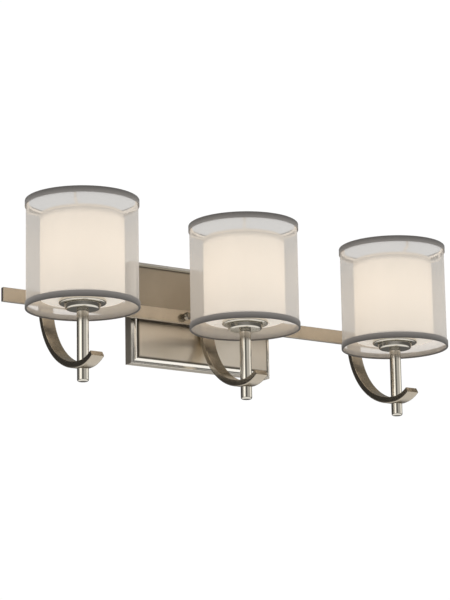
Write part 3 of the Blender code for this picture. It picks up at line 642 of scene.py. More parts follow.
def plate_nickel():
    """Flat nickel rubbed brighter towards the plate's lower half, with bright moulding and dark lines."""
    if "rubbed_plate_nickel" in bpy.data.materials:
        return bpy.data.materials["rubbed_plate_nickel"]
    material, bench, shader = new_material("rubbed_plate_nickel", "antique_nickel")
    grain = place_group(bench, grain_group())
    base = colours().flat_nickel
    height = bench.add("ShaderNodeSeparateXYZ")
    bench.join(bench.add("ShaderNodeTexCoord").outputs["Object"], height.inputs["Vector"])
    # Painted reflection: the panel is painted darker above and near white below, standing in for the lit
    # shades it reflects.
    painted_reflection = bench.spread(height.outputs["Z"], -0.035, 0.012, 1.0, 0.0, smooth=True)
    upper = bench.mix(grain.outputs["Patches"], shade_of(base, 0.66), shade_of(base, 0.80))
    lower = bench.mix(grain.outputs["Patches"], (0.92, 0.84, 0.72, 1.0), (0.98, 0.92, 0.82, 1.0))
    panel = bench.mix(painted_reflection, upper, lower)
    moulding = bench.add("ShaderNodeAttribute", attribute_name="moulding").outputs["Fac"]
    line = bench.add("ShaderNodeAttribute", attribute_name="line").outputs["Fac"]
    # Painted highlight on the moulding, and painted shade in the lines along the step.
    painted_highlight_panel = bench.mix(moulding, panel, (0.98, 0.95, 0.89, 1.0))
    bench.join(bench.mix(line, painted_highlight_panel, shade_of(base, 0.22)), shader.inputs["Base Color"])
    bench.join(bench.spread(moulding, 0.0, 1.0, 0.34, 0.2), shader.inputs["Roughness"])
    shader.inputs["Metallic"].default_value = 1.0
    add_bump(bench, shader, grain.outputs["Lines"], 0.02, 0.00003)
    return material


# Painted dark reflection: the ball nuts get a darker copy of the flat nickel, standing in for the dark
# surroundings they reflect.
def nickel_painted_dark():
    return brushed_metal("dark_turned_nickel", "antique_nickel", shade_of(colours().flat_nickel, 0.62)[:3],
                         0.11, contrast=0.04, bump=0.012)


def bright_nickel():
    return brushed_metal("turned_bright_nickel", "antique_nickel", colours().turned_nickel, 0.15,
                         contrast=0.04, bump=0.012)


def steel():
    return brushed_metal("bright_plated_steel", "plated_steel", colours().steel, 0.34, contrast=0.1,
                         lines=1400.0, bump=0.05)


def glazed(name, slot, colour, rough, coat=0.0, glow=None, strength=0.0, cloud=0.04, ends=None):
    """Glazed, lacquered or glass surface, with a soft glow where it is lit from inside."""
    if name in bpy.data.materials:
        return bpy.data.materials[name]
    material, bench, shader = new_material(name, slot)
    mottle = place_group(bench, mottle_group())
    bench.join(bench.mix(mottle.outputs["Clouds"], shade_of(colour, 1 - cloud),
                         shade_of(colour, 1 + cloud)), shader.inputs["Base Color"])
    bench.join(bench.spread(mottle.outputs["Clouds"], 0.3, 0.7, rough - 0.03, rough + 0.05),
               shader.inputs["Roughness"])
    shader.inputs["Coat Weight"].default_value = coat
    shader.inputs["Coat Roughness"].default_value = 0.12
    if glow:
        # Painted light: the glow is brightest at the lamp's height; on the drum and the hanger it stands in
        # for the lamp's light.
        height = bench.add("ShaderNodeSeparateXYZ")
        bench.join(bench.add("ShaderNodeTexCoord").outputs["Object"], height.inputs["Vector"])
        middle = bench.math("ABSOLUTE", bench.math("SUBTRACT", height.outputs["Z"], 0.038))
        lamp_height_glow = bench.spread(middle, 0.0, 0.055, 1.0, 0.0, smooth=True)
        tint = bench.mix(lamp_height_glow, shade_of(glow, 0.80), shade_of(glow, 1.0))
        if ends:
            low, high = ends
            # Painted shade: the glow is dimmed towards the top rim and the floor.
            painted_top_shade = bench.spread(height.outputs["Z"], (high - 9.0) * MM, high * MM, smooth=True)
            tint = bench.mix(painted_top_shade, tint, shade_of(glow, 0.15))
            floor = bench.spread(height.outputs["Z"], (low + 0.5) * MM, (low + 2.5) * MM, 1.0, 0.0)
            tint = bench.mix(floor, tint, shade_of(glow, 0.22))
        bench.join(tint, shader.inputs["Emission Color"])
        shader.inputs["Emission Strength"].default_value = strength
    add_bump(bench, shader, mottle.outputs["Peel"], 0.03, 0.0001)
    return material


def sheer_cloth():
    """Sheer organza: fine threads with light between them."""
    if "sheer_organza" in bpy.data.materials:
        return bpy.data.materials["sheer_organza"]
    material, bench, shader = new_material("sheer_organza", "sheer")
    weave = place_group(bench, weave_group(), Threads_per_metre=1700.0, Thread_share=0.42, Slub=0.04)
    base = colours().sheer
    bench.join(bench.mix(weave.outputs["Slubs"], shade_of(base, 0.98), shade_of(base, 1.02)),
               shader.inputs["Base Color"])
    bench.join(bench.spread(weave.outputs["Cover"], 0.0, 1.0, 0.53, 0.73), shader.inputs["Alpha"])
    bench.join(bench.spread(weave.outputs["Height"], 0.0, 1.0, 0.8, 0.6), shader.inputs["Roughness"])
    shader.inputs["Sheen Weight"].default_value = 0.25
    shader.inputs["Sheen Roughness"].default_value = 0.4
    add_bump(bench, shader, weave.outputs["Height"], 0.2, 0.0001)
    return material


def tape_cloth():
    """Grosgrain tape with close ribs."""
    if "rim_tape" in bpy.data.materials:
        return bpy.data.materials["rim_tape"]
    material, bench, shader = new_material("rim_tape", "tape")
    weave = place_group(bench, weave_group(), Threads_per_metre=900.0, Thread_share=0.7, Slub=0.3)
    base = colours().tape
    tone = bench.spread(weave.outputs["Cover"], 0.0, 1.0)
    ribs = bench.mix(tone, shade_of(base, 0.88), shade_of(base, 1.08))
    fold = bench.add("ShaderNodeAttribute", attribute_name="fold").outputs["Fac"]
    # Painted shade: the tape darkens towards the rim's edge.
    bench.join(bench.mix(fold, ribs, shade_of(base, 0.30)), shader.inputs["Base Color"])
    bench.join(bench.spread(weave.outputs["Slubs"], 0.3, 0.7, 0.72, 0.86), shader.inputs["Roughness"])
    shader.inputs["Sheen Weight"].default_value = 0.15
    add_bump(bench, shader, weave.outputs["Height"], 0.35, 0.0002)
    return material


def opal_glass():
    # The drum's emission is painted light standing in for the lamp inside it.
    return glazed("opal_drum_glass", "opal_glass", colours().opal, 0.28, coat=0.25,
                  glow=colours().glow, strength=1.02, cloud=0.008,
                  ends=round_size("diffuser_left")[1:])


def porcelain():
    return glazed("glazed_porcelain", "porcelain", colours().porcelain, 0.22, coat=0.4)


# Pieces --------------------------------------------------------------------------------------------
def make_backplate():
    """Pressed plate: side wall, hollow moulding, bevelled step and flat panel."""
    low, high = corners("backplate")
    size = sizes()
    cove, rise, step_in = mm(size.plate_cove), mm(size.plate_rise), mm(size.plate_step)
    sheet, edge, panel = PLATE_SHEET, PLATE_EDGE, -low.y
    side = panel - step_in - rise
    half_x, half_z, centre_z = (high.x - low.x) / 2, (high.z - low.z) / 2, (high.z + low.z) / 2

    def rings(offset):
        found = [(offset, 0.0), (offset, side - offset - 2 * edge), (offset, side - offset - edge)]
        steps = 14
        for step in range(1, steps + 1):
            share = step / steps
            turn = math.radians(90 * share)
            inset, climb = cove * math.sin(turn), rise * (1 - math.cos(turn))
            found.append((inset + offset, side + climb - offset))
        last = cove + step_in + offset
        face = panel - offset
        found += [(last - edge * 1.2, face - edge * 1.2), (last - edge * 0.5, face - edge * 0.35),
                  (last + edge * 0.4, face), (last + 2.0, face)]
        return found

    bm = bmesh.new()
    loops = []
    for inset, depth in rings(sheet)[::-1] + rings(0.0):
        x, z = half_x - inset, half_z - inset
        around = ((-x, -z), (x, -z), (x, z), (-x, z))
        loops.append([bm.verts.new((a, -depth, centre_z + b)) for a, b in around])
    bm.faces.new(loops[0])
    bm.faces.new(loops[-1][::-1])
    for loop, following in zip(loops, loops[1:]):
        for step in range(4):
            after = (step + 1) % 4
            bm.faces.new([loop[step], loop[after], following[after], following[step]])
    piece = new_object("backplate_pressed", bm)
    cutters = []
    for side_name in ("left", "right"):
        stud_low, stud_high = corners("stud_" + side_name)
        x, z = (stud_low.x + stud_high.x) / 2, (stud_low.z + stud_high.z) / 2
        hole = (stud_high.x - stud_low.x) / 2 + FIT
        cutters.append((lathe([(0, 5), (hole, 5), (hole, -5), (0, -5)], 32, "Y"), (x, low.y, z)))
    for sign in (-1, 1):
        outline = [(0, 5), (WIRE_HOLE, 5), (WIRE_HOLE, -5), (0, -5)]
        cutters.append((lathe(outline, 40, "Y"), (sign * WIRE_HOLE_X, low.y, sum(GROOVE) / 2)))
    carve(piece, cutters)
    finish_piece(piece, plate_nickel(), bar_grain, replaces=["backplate"])
    # Masks for the plate's painted light: a painted highlight on the moulding and painted shade along the
    # step up to the panel.
    lines, moulding = [], []
    for vertex in piece.data.vertices:
        x, depth, z = vertex.co / MM
        inset = min(half_x - abs(x), half_z - abs(z - centre_z))
        lines.append(1.0 if cove - 0.3 < inset < cove + step_in + 0.3 and -depth > side else 0.0)
        moulding.append(1.0 if 0.3 < inset < cove - 0.3 and -depth > side - 1.0 else 0.0)
    for name, values in (("line", lines), ("moulding", moulding)):
        field = piece.data.attributes.new(name, "FLOAT", "POINT")
        field.data.foreach_set("value", values)


def make_bar():
    """Flat bar with rounded edges, the wire groove in its back, and its holes."""
    low, high = corners("light_bar")
    piece = new_object("light_bar_brushed", block(low, high, mm(sizes().bar_edge), 4))
    end = -lamp_axis("left")[0] + GROOVE_END
    groove = block((-end, high.y - GROOVE_DEPTH, GROOVE[0]), (end, high.y + 2, GROOVE[1]))
    cutters = [(groove, (0, 0, 0))]
    for side_name in ("left", "right"):
        stud_low, stud_high = corners("stud_" + side_name)
        x = (stud_low.x + stud_high.x) / 2
        hole = (stud_high.x - stud_low.x) / 2 + FIT
        cutters.append((lathe([(0, 12), (hole, 12), (hole, -4), (0, -4)], 32, "Y"), (x, high.y, 0)))
    for side in SIDES:
        screw_low, screw_high = corners("arm_screw_" + side)
        x, z = (screw_low.x + screw_high.x) / 2, (screw_low.z + screw_high.z) / 2
        outline = [(0, SCREW_HOLE_DEPTH), (SCREW_HOLE, SCREW_HOLE_DEPTH), (SCREW_HOLE, -2), (0, -2)]
        cutters.append((lathe(outline, 24, "Y"), (x, high.y, z)))
    carve(piece, cutters)
    finish_piece(piece, nickel(), bar_grain, replaces=["light_bar"])


def make_ball_nut(side):
    low, high = corners("ball_nut_" + side)
    ball = (high.x - low.x) / 2
    x, seat, front = (low.x + high.x) / 2, -high.y, -low.y
    centre = front - ball
    bore = corners("stud_" + side)
    bore_radius = (bore[1].x - bore[0].x) / 2 + FIT
    tip = -bore[0].y + 1.0
    start = math.degrees(math.acos((centre - seat - 1.0) / ball))
    outline = [(bore_radius, seat, 0.2), (4.2, seat, 0.3), (4.2, seat + 1.0, 0.25)]
    outline += [(ball * math.sin(math.radians(turn)), centre - ball * math.cos(math.radians(turn)), 0)
                for turn in [start + (180 - start) * step / 24 for step in range(25)]]
    outline += [(0, tip, 0), (bore_radius, tip, 0)]
    turned_piece("ball_nut_%s_turned" % side, outline, nickel_painted_dark(), (x, 0, 0), 48, "Y",
                 body="ball_nut_%s_body" % side, replaces=["ball_nut_" + side])


def make_fixings():
    """Mounting strap, earth screw, studs with their threads, spacers and ball nuts."""
    low, high = corners("mounting_strap")
    strap = new_object("mounting_strap_pressed", block(low, high, 0.3, 2))
    earth_low, earth_high = corners("earth_screw")
    earth_x = (earth_low.x + earth_high.x) / 2
    length, tall = STRAP_SLOT
    cutters = [(block((x - length, low.y - 2, -tall), (x + length, 2, tall)), (0, 0, 0))
               for x in (-STRAP_SLOT_X, STRAP_SLOT_X)]
    cutters.append((lathe([(0, 4), (2.1, 4), (2.1, -2), (0, -2)], 24, "Y"), (earth_x, 0, 0)))
    for side in ("left", "right"):
        stud_low, stud_high = corners("stud_" + side)
        x, radius = (stud_low.x + stud_high.x) / 2, (stud_high.x - stud_low.x) / 2
        cutters.append((lathe([(0, 4), (radius + FIT, 4), (radius + FIT, -2), (0, -2)], 24, "Y"),
                        (x, 0, 0)))
        tip, core = -stud_low.y, radius - 0.3
        outline = [(0, -stud_high.y, 0), (core, -stud_high.y, 0.3), (core, tip, 0.5), (0, tip, 0)]
        turned_piece("stud_%s_core" % side, outline, steel(), (x, 0, 0), 32, "Y",
                     replaces=["stud_" + side])
        thread_piece("stud_%s_thread" % side, steel(), core - 0.02, tip + stud_high.y - 1.2, 0.3,
                     (x, stud_high.y - 0.6, 0), "Y", pitch=0.8)
        spacer_low, spacer_high = corners("spacer_" + side)
        outer, bore = (spacer_high.x - spacer_low.x) / 2, radius + FIT
        outline = [(bore, -spacer_high.y, 0.2), (outer, -spacer_high.y, 0.4),
                   (outer, -spacer_low.y, 0.4), (bore, -spacer_low.y, 0.2)]
        turned_piece("spacer_%s_turned" % side, outline, steel(), (x, 0, 0), 40, "Y",
                     replaces=["spacer_" + side])
        make_ball_nut(side)
    carve(strap, cutters)
    finish_piece(strap, steel(), bar_grain, replaces=["mounting_strap"])
    back, front = -earth_high.y, -earth_low.y
    outline = [(0, back, 0), (1.8, back, 0.3), (1.8, front - 2.2, 0), (4.0, front - 2.2, 0.2),
               (4.0, front - 0.6, 0.3), (3.0, front, 0.4), (0, front, 0)]
    slot = block((earth_x - 5, -front - 1, -DRIVER_SLOT), (earth_x + 5, -front + 1.0, DRIVER_SLOT))
    green = brushed_metal("green_lacquer", "green_screw", colours().green, 0.34, contrast=0.15)
    turned_piece("earth_screw_turned", outline, green, (earth_x, 0, 0), 40, "Y",
                 cutters=[(slot, (0, 0, 0))], replaces=["earth_screw"])


def arm_path(top, end_angle):
    """Centre line of the arm: down the bar's back, round the bow, and up the toe, edges eased."""
    size = sizes()
    bow, reach, toe = mm(size.bow_radius), mm(size.bow_reach), mm(size.toe_radius)
    ease = 0.5
    back = -(reach - bow)
    path = [(back, top, 1.0, 0.0, ease), (back, top - ease, 1.0, 0.0, 0.0)]
    steps = 60
    for step in range(steps + 1):
        turn = math.radians(90.0 * step / steps)
        path.append((-reach + bow * math.cos(turn), -bow * math.sin(turn),
                     math.cos(turn), -math.sin(turn), 0.0))
    toe_centre = toe - bow
    easing = math.degrees(ease / toe)
    turns = [end_angle * step / 24 for step in range(1, 24)] + [end_angle - easing, end_angle]
    for turn in turns:
        angle = math.radians(90.0 + turn)
        path.append((-reach + toe * math.cos(angle), toe_centre - toe * math.sin(angle),
                     math.cos(angle), -math.sin(angle), ease if turn == end_angle else 0.0))
    return path


def make_arms():
    """J-shaped arms, each with the screw that holds it to the bar's back."""
    size = sizes()
    out = mm(size.arm_thickness) / 2
    edge = mm(size.arm_edge)
    bow = mm(size.bow_radius)
    for side in SIDES:
        x, y = lamp_axis(side)
        low, high = corners("arm_" + side)
        half = (high.x - low.x) / 2
        section = rounded([(-half, -out, 0.6), (half, -out, 0.6), (half, out, edge), (-half, out, edge)], 5)
        path = arm_path(high.z, math.degrees(size.toe_angle))
        piece = new_object("arm_%s_swept" % side, sweep(path, section), (x, 0, 0))
        bar_back = corners("light_bar")[1].y
        screw_low, screw_high = corners("arm_screw_" + side)
        screw_z = (screw_low.z + screw_high.z) / 2
        seat = block((-20, bar_back - 6, -8.4), (20, bar_back + FIT, 20))
        nipple = round_size("nipple_" + side)[0] + FIT
        shank, head = SCREW_HOLE, 4.1
        back = -high.y
        sink = [(0, back - 1), (head, back - 1), (head, back + 0.3), (shank, back + 2.5),
                (shank, back + 8), (0, back + 8)]
        carve(piece, [
            (seat, (x, 0, 0)),
            (lathe([(0, -bow), (nipple, -bow), (nipple, -bow + 9), (0, -bow + 9)], 40), (x, y, 0)),
            (lathe([(0, -bow - 9), (2.8, -bow - 9), (2.8, -bow + 1), (0, -bow + 1)], 32), (x, y, 0)),
            (lathe(sink, 36, "Y"), (x, 0, screw_z)),
        ])
        finish_piece(piece, nickel(), lambda point, x=x: arm_grain(point - Vector((x, 0, 0))),
                     replaces=["arm_" + side])
        make_arm_screw(side, x, screw_z)


def make_arm_screw(side, x, z):
    low, high = corners("arm_screw_" + side)
    head, back, tip = (high.x - low.x) / 2, -high.y, -low.y
    outline = [(0, back, 0), (head, back, 0.15), (head, back + 0.35, 0.1), (2.0, back + 2.3, 0),
               (2.0, tip, 0.6), (0, tip, 0)]
    slot = block((x - head - 1, -back - 0.9, z - DRIVER_SLOT), (x + head + 1, -back + 1, z + DRIVER_SLOT))
    turned_piece("arm_screw_%s_turned" % side, outline, steel(), (x, 0, z), 40, "Y",
                 cutters=[(slot, (0, 0, 0))], replaces=["arm_screw_" + side])


def make_stems():
    """Stem tube with its coped foot, threaded nipple inside it, and the round foot below the arm."""
    size = sizes()
    bow_inner = mm(size.bow_radius) - mm(size.arm_thickness) / 2 - FIT
    reach = mm(size.bow_reach)
    for side in SIDES:
        x, y = lamp_axis(side)
        radius, low, top = round_size("stem_" + side)
        bore = STEM_BORE
        outline = [(radius, low - 1, 0), (radius, top, 0.5), (bore, top, 0.3), (bore, low - 1, 0)]
        bm = lathe(rounded(outline), 72)
        for vertex in bm.verts:
            if vertex.co.z < low:
                across = vertex.co.y + y + reach
                vertex.co.z = -math.sqrt(bow_inner ** 2 - across ** 2)
        piece = new_object("stem_%s_tube" % side, bm, (x, y, 0))
        finish_piece(piece, bright_nickel(), turned_grain((x, y, 0)), replaces=["stem_" + side])

        radius, low, top = round_size("nipple_" + side)
        bore, core = NIPPLE_BORE, radius - 0.35
        outline = [(core, low, 0.4), (core, top, 0.4), (bore, top, 0), (bore, low, 0)]
        turned_piece("nipple_%s_core" % side, outline, steel(), (x, y, 0), 40,
                     replaces=["nipple_" + side])
        thread_piece("nipple_%s_thread" % side, steel(), core - 0.02, top - low - 1.4, 0.33,
                     (x, y, low + 0.7))

        radius, low, stud_top = round_size("finial_" + side)
        top = corners("arm_" + side)[0].z - FIT
        outline = [(0, low, 0), (radius, low, 2.2), (radius, top, 0.5), (2.5, top, 0),
                   (2.5, stud_top, 0.4), (0, stud_top, 0)]
        turned_piece("finial_%s_turned" % side, outline, bright_nickel(), (x, y, 0), 72, steps=6,
                     body="finial_%s_body" % side, replaces=["finial_" + side])


def make_cups():
    """The two tiers below each drum."""
    for side in SIDES:
        x, y = lamp_axis(side)
        hole = round_size("nipple_" + side)[0] + FIT
        radius, low, top = round_size("cup_disc_" + side)
        outline = [(hole, low, 0), (radius, low, 1.7), (radius, top, 1.5), (hole, top, 0)]
        turned_piece("cup_disc_%s_turned" % side, outline, bright_nickel(), (x, y, 0), 96, steps=6,
                     replaces=["cup_disc_" + side])
        radius, low, top = round_size("cup_tier_" + side)
        outline = [(hole, low, 0), (radius - 1.7, low, 2.6), (radius, top, 0.5), (hole, top, 0)]
        turned_piece("cup_tier_%s_turned" % side, outline, bright_nickel(), (x, y, 0), 96, steps=7,
                     replaces=["cup_tier_" + side])


def make_sockets():
    """Porcelain socket with its thread, and the ribbed ring that clamps the drum."""
    for side in SIDES:
        x, y = lamp_axis(side)
        hole = round_size("nipple_" + side)[0] + FIT
        radius, low, top = round_size("socket_" + side)
        bore, floor = SOCKET_BORE, low + SOCKET_FLOOR
        outline = [(hole, low, 0), (radius, low, 0.5), (radius, top, 1.4), (bore, top, 0.8),
                   (bore, floor, 0.5), (hole, floor, 0)]
        turned_piece("socket_%s_body" % side, outline, porcelain(), (x, y, 0), 72,
                     replaces=["socket_" + side])
        thread_piece("socket_%s_thread" % side, steel(), bore + 0.05, top - floor - 6, 0.35,
                     (x, y, floor + 4), pitch=3.6)
        inner, low = radius + FIT, round_size("shade_ring_" + side)[1]
        rim, _, high = round_size("shade_ring_" + side)
        outline = [(inner, low, 0.2), (rim - 0.7, low, 0.4), (rim - 0.7, high, 1.2), (inner, high, 0.6)]
        body = "shade_ring_%s_body" % side
        turned_piece("shade_ring_%s_ring" % side, outline, porcelain(), (x, y, 0), 72, body=body,
                     replaces=["shade_ring_" + side])
        rib = block((rim - 1.2, -0.9, low + 0.6), (rim, 0.9, high - 1.4), 0.35, 2)
        radial_piece("shade_ring_%s_ribs" % side, rib, porcelain(), sizes().clamp_ribs, 0.0,
                     (x, y, 0), body=body)


def make_bulbs():
    """Small round opal lamp in its threaded cap."""
    glass = glazed("opal_bulb", "bulb_glass", (0.95, 0.94, 0.90), 0.2, coat=0.3,
                   glow=colours().glow, strength=0.8)
    for side in SIDES:
        x, y = lamp_axis(side)
        body = "bulb_%s_body" % side
        globe, low, top = round_size("bulb_" + side)
        cap, cap_top, centre = 13.0, low + 24.0, top - globe
        start = math.degrees(math.asin((cap - 0.6) / globe))
        outline = [(0, cap_top - 0.2, 0), (cap - 0.6, cap_top - 0.2, 0)]
        outline += [(globe * math.sin(math.radians(turn)), centre - globe * math.cos(math.radians(turn)), 0)
                    for turn in [start + (180 - start) * step / 32 for step in range(33)]]
        outline[-1] = (0, top, 0)
        turned_piece("bulb_%s_globe" % side, outline, glass, (x, y, 0), 64, body=body,
                     replaces=["bulb_" + side])
        shell = cap - 0.35
        outline = [(0, low, 0), (4.8, low, 0.8), (4.8, low + 1.2, 0), (9.0, low + 3.5, 0.5),
                   (shell, low + 5.0, 0.8), (shell, cap_top, 0.4), (0, cap_top, 0)]
        turned_piece("bulb_%s_cap" % side, outline, steel(), (x, y, 0), 56, body=body,
                     slot="plated_steel")
        thread_piece("bulb_%s_thread" % side, steel(), shell - 0.05, 15.0, 0.38,
                     (x, y, low + 6.4), pitch=3.6, body=body, slot="plated_steel")


def make_drums():
    """Opal drums, open at the top, with a floor that the socket passes through."""
    for side in SIDES:
        x, y = lamp_axis(side)
        radius, low, top = round_size("diffuser_" + side)
        wall = mm(sizes().drum_wall)
        hole = round_size("socket_" + side)[0] + 2 * FIT
        outline = [(hole, low, 0.6), (radius, low, 2.4), (radius, top, 1.4), (radius - wall, top, 1.4),
                   (radius - wall, low + wall, 1.6), (hole, low + wall, 0.6)]
        turned_piece("diffuser_%s_glass" % side, outline, opal_glass(), (x, y, 0), 120, steps=6,
                     replaces=["diffuser_" + side])


HANGER_TURNS = {"left": -38.0, "middle": -33.0, "right": -20.0}


def make_hangers():
    """Frame that carries each shade: a ring on the drum's rim, cranked arms and a top ring."""
    # The enamel's glow is painted light, standing in for the drum's light on the hanger.
    enamel = glazed("satin_enamel", "white_steel", colours().hanger, 0.42, coat=0.1,
                    glow=colours().glow, strength=0.55)
    for side in SIDES:
        x, y = lamp_axis(side)
        drum, _, drum_top = round_size("diffuser_" + side)
        outer, _, top = round_size("hanger_" + side)
        middle, seat = drum - mm(sizes().drum_wall) / 2, drum_top + FIT
        outline = [(middle - 1.3, seat, 0.6), (middle + 1.3, seat, 0.6),
                   (middle + 1.3, seat + 2.0, 0.9), (middle - 1.3, seat + 2.0, 0.9)]
        turned_piece("hanger_%s_seat" % side, outline, enamel, (x, y, 0), 96,
                     replaces=["hanger_" + side])
        outline = [(outer - 2.4, top - 2.4, 1.0), (outer, top - 2.4, 1.0), (outer, top, 1.0),
                   (outer - 2.4, top, 1.0)]
        turned_piece("hanger_%s_top" % side, outline, enamel, (x, y, 0), 120)
        knee = outer - 0.4
        sheet = rounded([(middle - 0.6, seat + 0.2, 0), (knee, seat + 5.1, 1.6), (knee, top - 1.0, 0),
                         (knee - 1.7, top - 1.0, 0), (knee - 1.7, seat + 6.4, 1.0),
                         (middle - 0.6, seat + 1.8, 0)], 4)
        bm = bmesh.new()
        flanks = [[bm.verts.new((a, across, b)) for a, b in sheet] for across in (-1.2, 1.2)]
        bm.faces.new(flanks[0])
        bm.faces.new(flanks[1][::-1])
        for step in range(len(sheet)):
            after = (step + 1) % len(sheet)
            bm.faces.new([flanks[0][step], flanks[1][step], flanks[1][after], flanks[0][after]])
        radial_piece("hanger_%s_arms" % side, bm, enamel, sizes().hanger_arms,
                     math.radians(HANGER_TURNS[side]), (x, y, 0))


SEAM_TURN = 150.0            # near the side of each shade, in degrees


def cloth_uv(mesh, lengths):
    """UV map in metres, from a function of a corner's vertex index."""
    layer = mesh.uv_layers.new(name="cloth")
    for loop in mesh.loops:
        layer.data[loop.index].uv = lengths(loop.vertex_index)


def make_shades():
    """Sheer drum shades that lap at one seam, with tape folded over both rims."""
    size = sizes()
    for side in SIDES:
        x, y = lamp_axis(side)
        outer, low, high = round_size("shade_" + side)
        near, far = outer - 0.4, outer - 0.15
        lap = mm(size.seam_overlap) / outer
        columns, rows = 180, 16
        turn_all = 2 * math.pi + lap
        start = math.radians(SEAM_TURN)
        bm = bmesh.new()
        grid = []
        for column in range(columns + 1):
            share = column / columns
            turn, radius = start + turn_all * share, near + (far - near) * share
            grid.append([bm.verts.new((radius * math.cos(turn), radius * math.sin(turn),
                                       low + (high - low) * row / rows)) for row in range(rows + 1)])
        for before, after in zip(grid, grid[1:]):
            for row in range(rows):
                bm.faces.new([before[row], after[row], after[row + 1], before[row + 1]])
        bmesh.ops.translate(bm, vec=(x, y, 0), verts=bm.verts)
        bmesh.ops.scale(bm, vec=(MM, MM, MM), verts=bm.verts)
        mesh = bpy.data.meshes.new("shade_%s_sheer" % side)
        bm.to_mesh(mesh)
        bm.free()
        cloth = bpy.data.objects.new(mesh.name, mesh)
        bpy.context.scene.collection.objects.link(cloth)
        width = turn_all * (near + far) / 2 * MM
        cloth_uv(mesh, lambda index: (index // (rows + 1) / columns * width,
                                      index % (rows + 1) / rows * (high - low) * MM))
        mesh.shade_smooth()
        mesh.materials.append(sheer_cloth())
        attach(cloth, FIXTURE)
        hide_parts("shade_" + side)

        for rim, node in (("top", "band_top_" + side), ("bottom", "band_bottom_" + side)):
            radius, band_low, band_high = round_size(node)
            make_tape(side, rim, radius, band_low, band_high, (x, y, 0), node)


def make_tape(side, rim, radius, low, high, at, node):
    """Tape folded over a rim: an outer leg, a soft fold and an inner leg."""
    outside, inside = radius - 0.8, radius - 1.6
    tip = radius - 2.1
    if rim == "bottom":
        outline = [(outside, high, 0.2), (radius, high, 0.3), (radius, low, 0.8), (tip, low, 0.4),
                   (tip, low + 1.6, 0.1), (inside, low + 1.6, 0.1), (inside, low + 0.5, 0.2),
                   (outside, low + 0.5, 0.3)]
    else:
        outline = [(outside, low, 0.2), (outside, high - 0.5, 0.3), (inside, high - 0.5, 0.2),
                   (inside, high - 1.6, 0.1), (tip, high - 1.6, 0.1), (tip, high, 0.4),
                   (radius, high, 0.8), (radius, low, 0.3)]
    points = rounded(outline, 4)
    segments = 144
    bm = lathe(points, segments)
    piece = new_object("tape_%s_%s" % (rim, side), bm, at)
    lengths = [0.0]
    for before, after in zip(points, points[1:]):
        lengths.append(lengths[-1] + (after - before).length)
    mesh = piece.data
    count = len(points)
    cloth_uv(mesh, lambda index: (index % segments / segments * 2 * math.pi * radius * MM,
                                  lengths[index // segments % count] * MM))
    finish_piece(piece, tape_cloth(), turned_grain(at), replaces=[node])
    rim_height = low if rim == "bottom" else high
    # Painted shade: a mask that darkens the tape towards the rim's edge.
    field = piece.data.attributes.new("fold", "FLOAT", "POINT")
    reach = (high - low) * 0.5
    field.data.foreach_set("value", [max(0.0, 1 - abs(vertex.co.z / MM - rim_height) / reach)
                                     for vertex in piece.data.vertices])
    return piece


def make_leads():
    """Sleeved leads along the frame's own routes, rounded."""
    material, bench, shader = new_material("braided_sleeve", "lead_sleeve")
    mottle = place_group(bench, mottle_group(), Cloud_scale=700.0, Peel_scale=2400.0)
    base = colours().sleeve
    bench.join(bench.mix(mottle.outputs["Clouds"], shade_of(base, 0.6), shade_of(base, 1.6)),
               shader.inputs["Base Color"])
    bench.join(bench.spread(mottle.outputs["Peel"], 0.3, 0.7, 0.5, 0.7), shader.inputs["Roughness"])
    add_bump(bench, shader, mottle.outputs["Peel"], 0.3, 0.0002)
    for side in SIDES:
        bm = bmesh.new()
        bm.from_mesh(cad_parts["lead_" + side].data)
        bmesh.ops.remove_doubles(bm, verts=bm.verts, dist=1e-6)
        mesh = bpy.data.meshes.new("lead_%s_sleeve" % side)
        bm.to_mesh(mesh)
        bm.free()
        piece = bpy.data.objects.new(mesh.name, mesh)
        bpy.context.scene.collection.objects.link(piece)
        x, y = lamp_axis(side)
        finish_piece(piece, material, turned_grain((x, y, 0)), replaces=["lead_" + side])


# Stage ---------------------------------------------------------------------------------------------
STUDIO = (                     # bearing round the fixture in degrees, radiance
    (-180, 0.14), (-150, 0.05), (-135, 0.06), (-110, 0.35), (-95, 0.95), (-75, 1.60), (-60, 1.30),
    (-50, 0.45), (-40, 0.08), (-30, 0.06), (-18, 0.30), (0, 0.55), (15, 0.55), (34, 0.42), (50, 1.10),
    (65, 1.20), (80, 0.70), (100, 0.35), (140, 0.20), (180, 0.14))


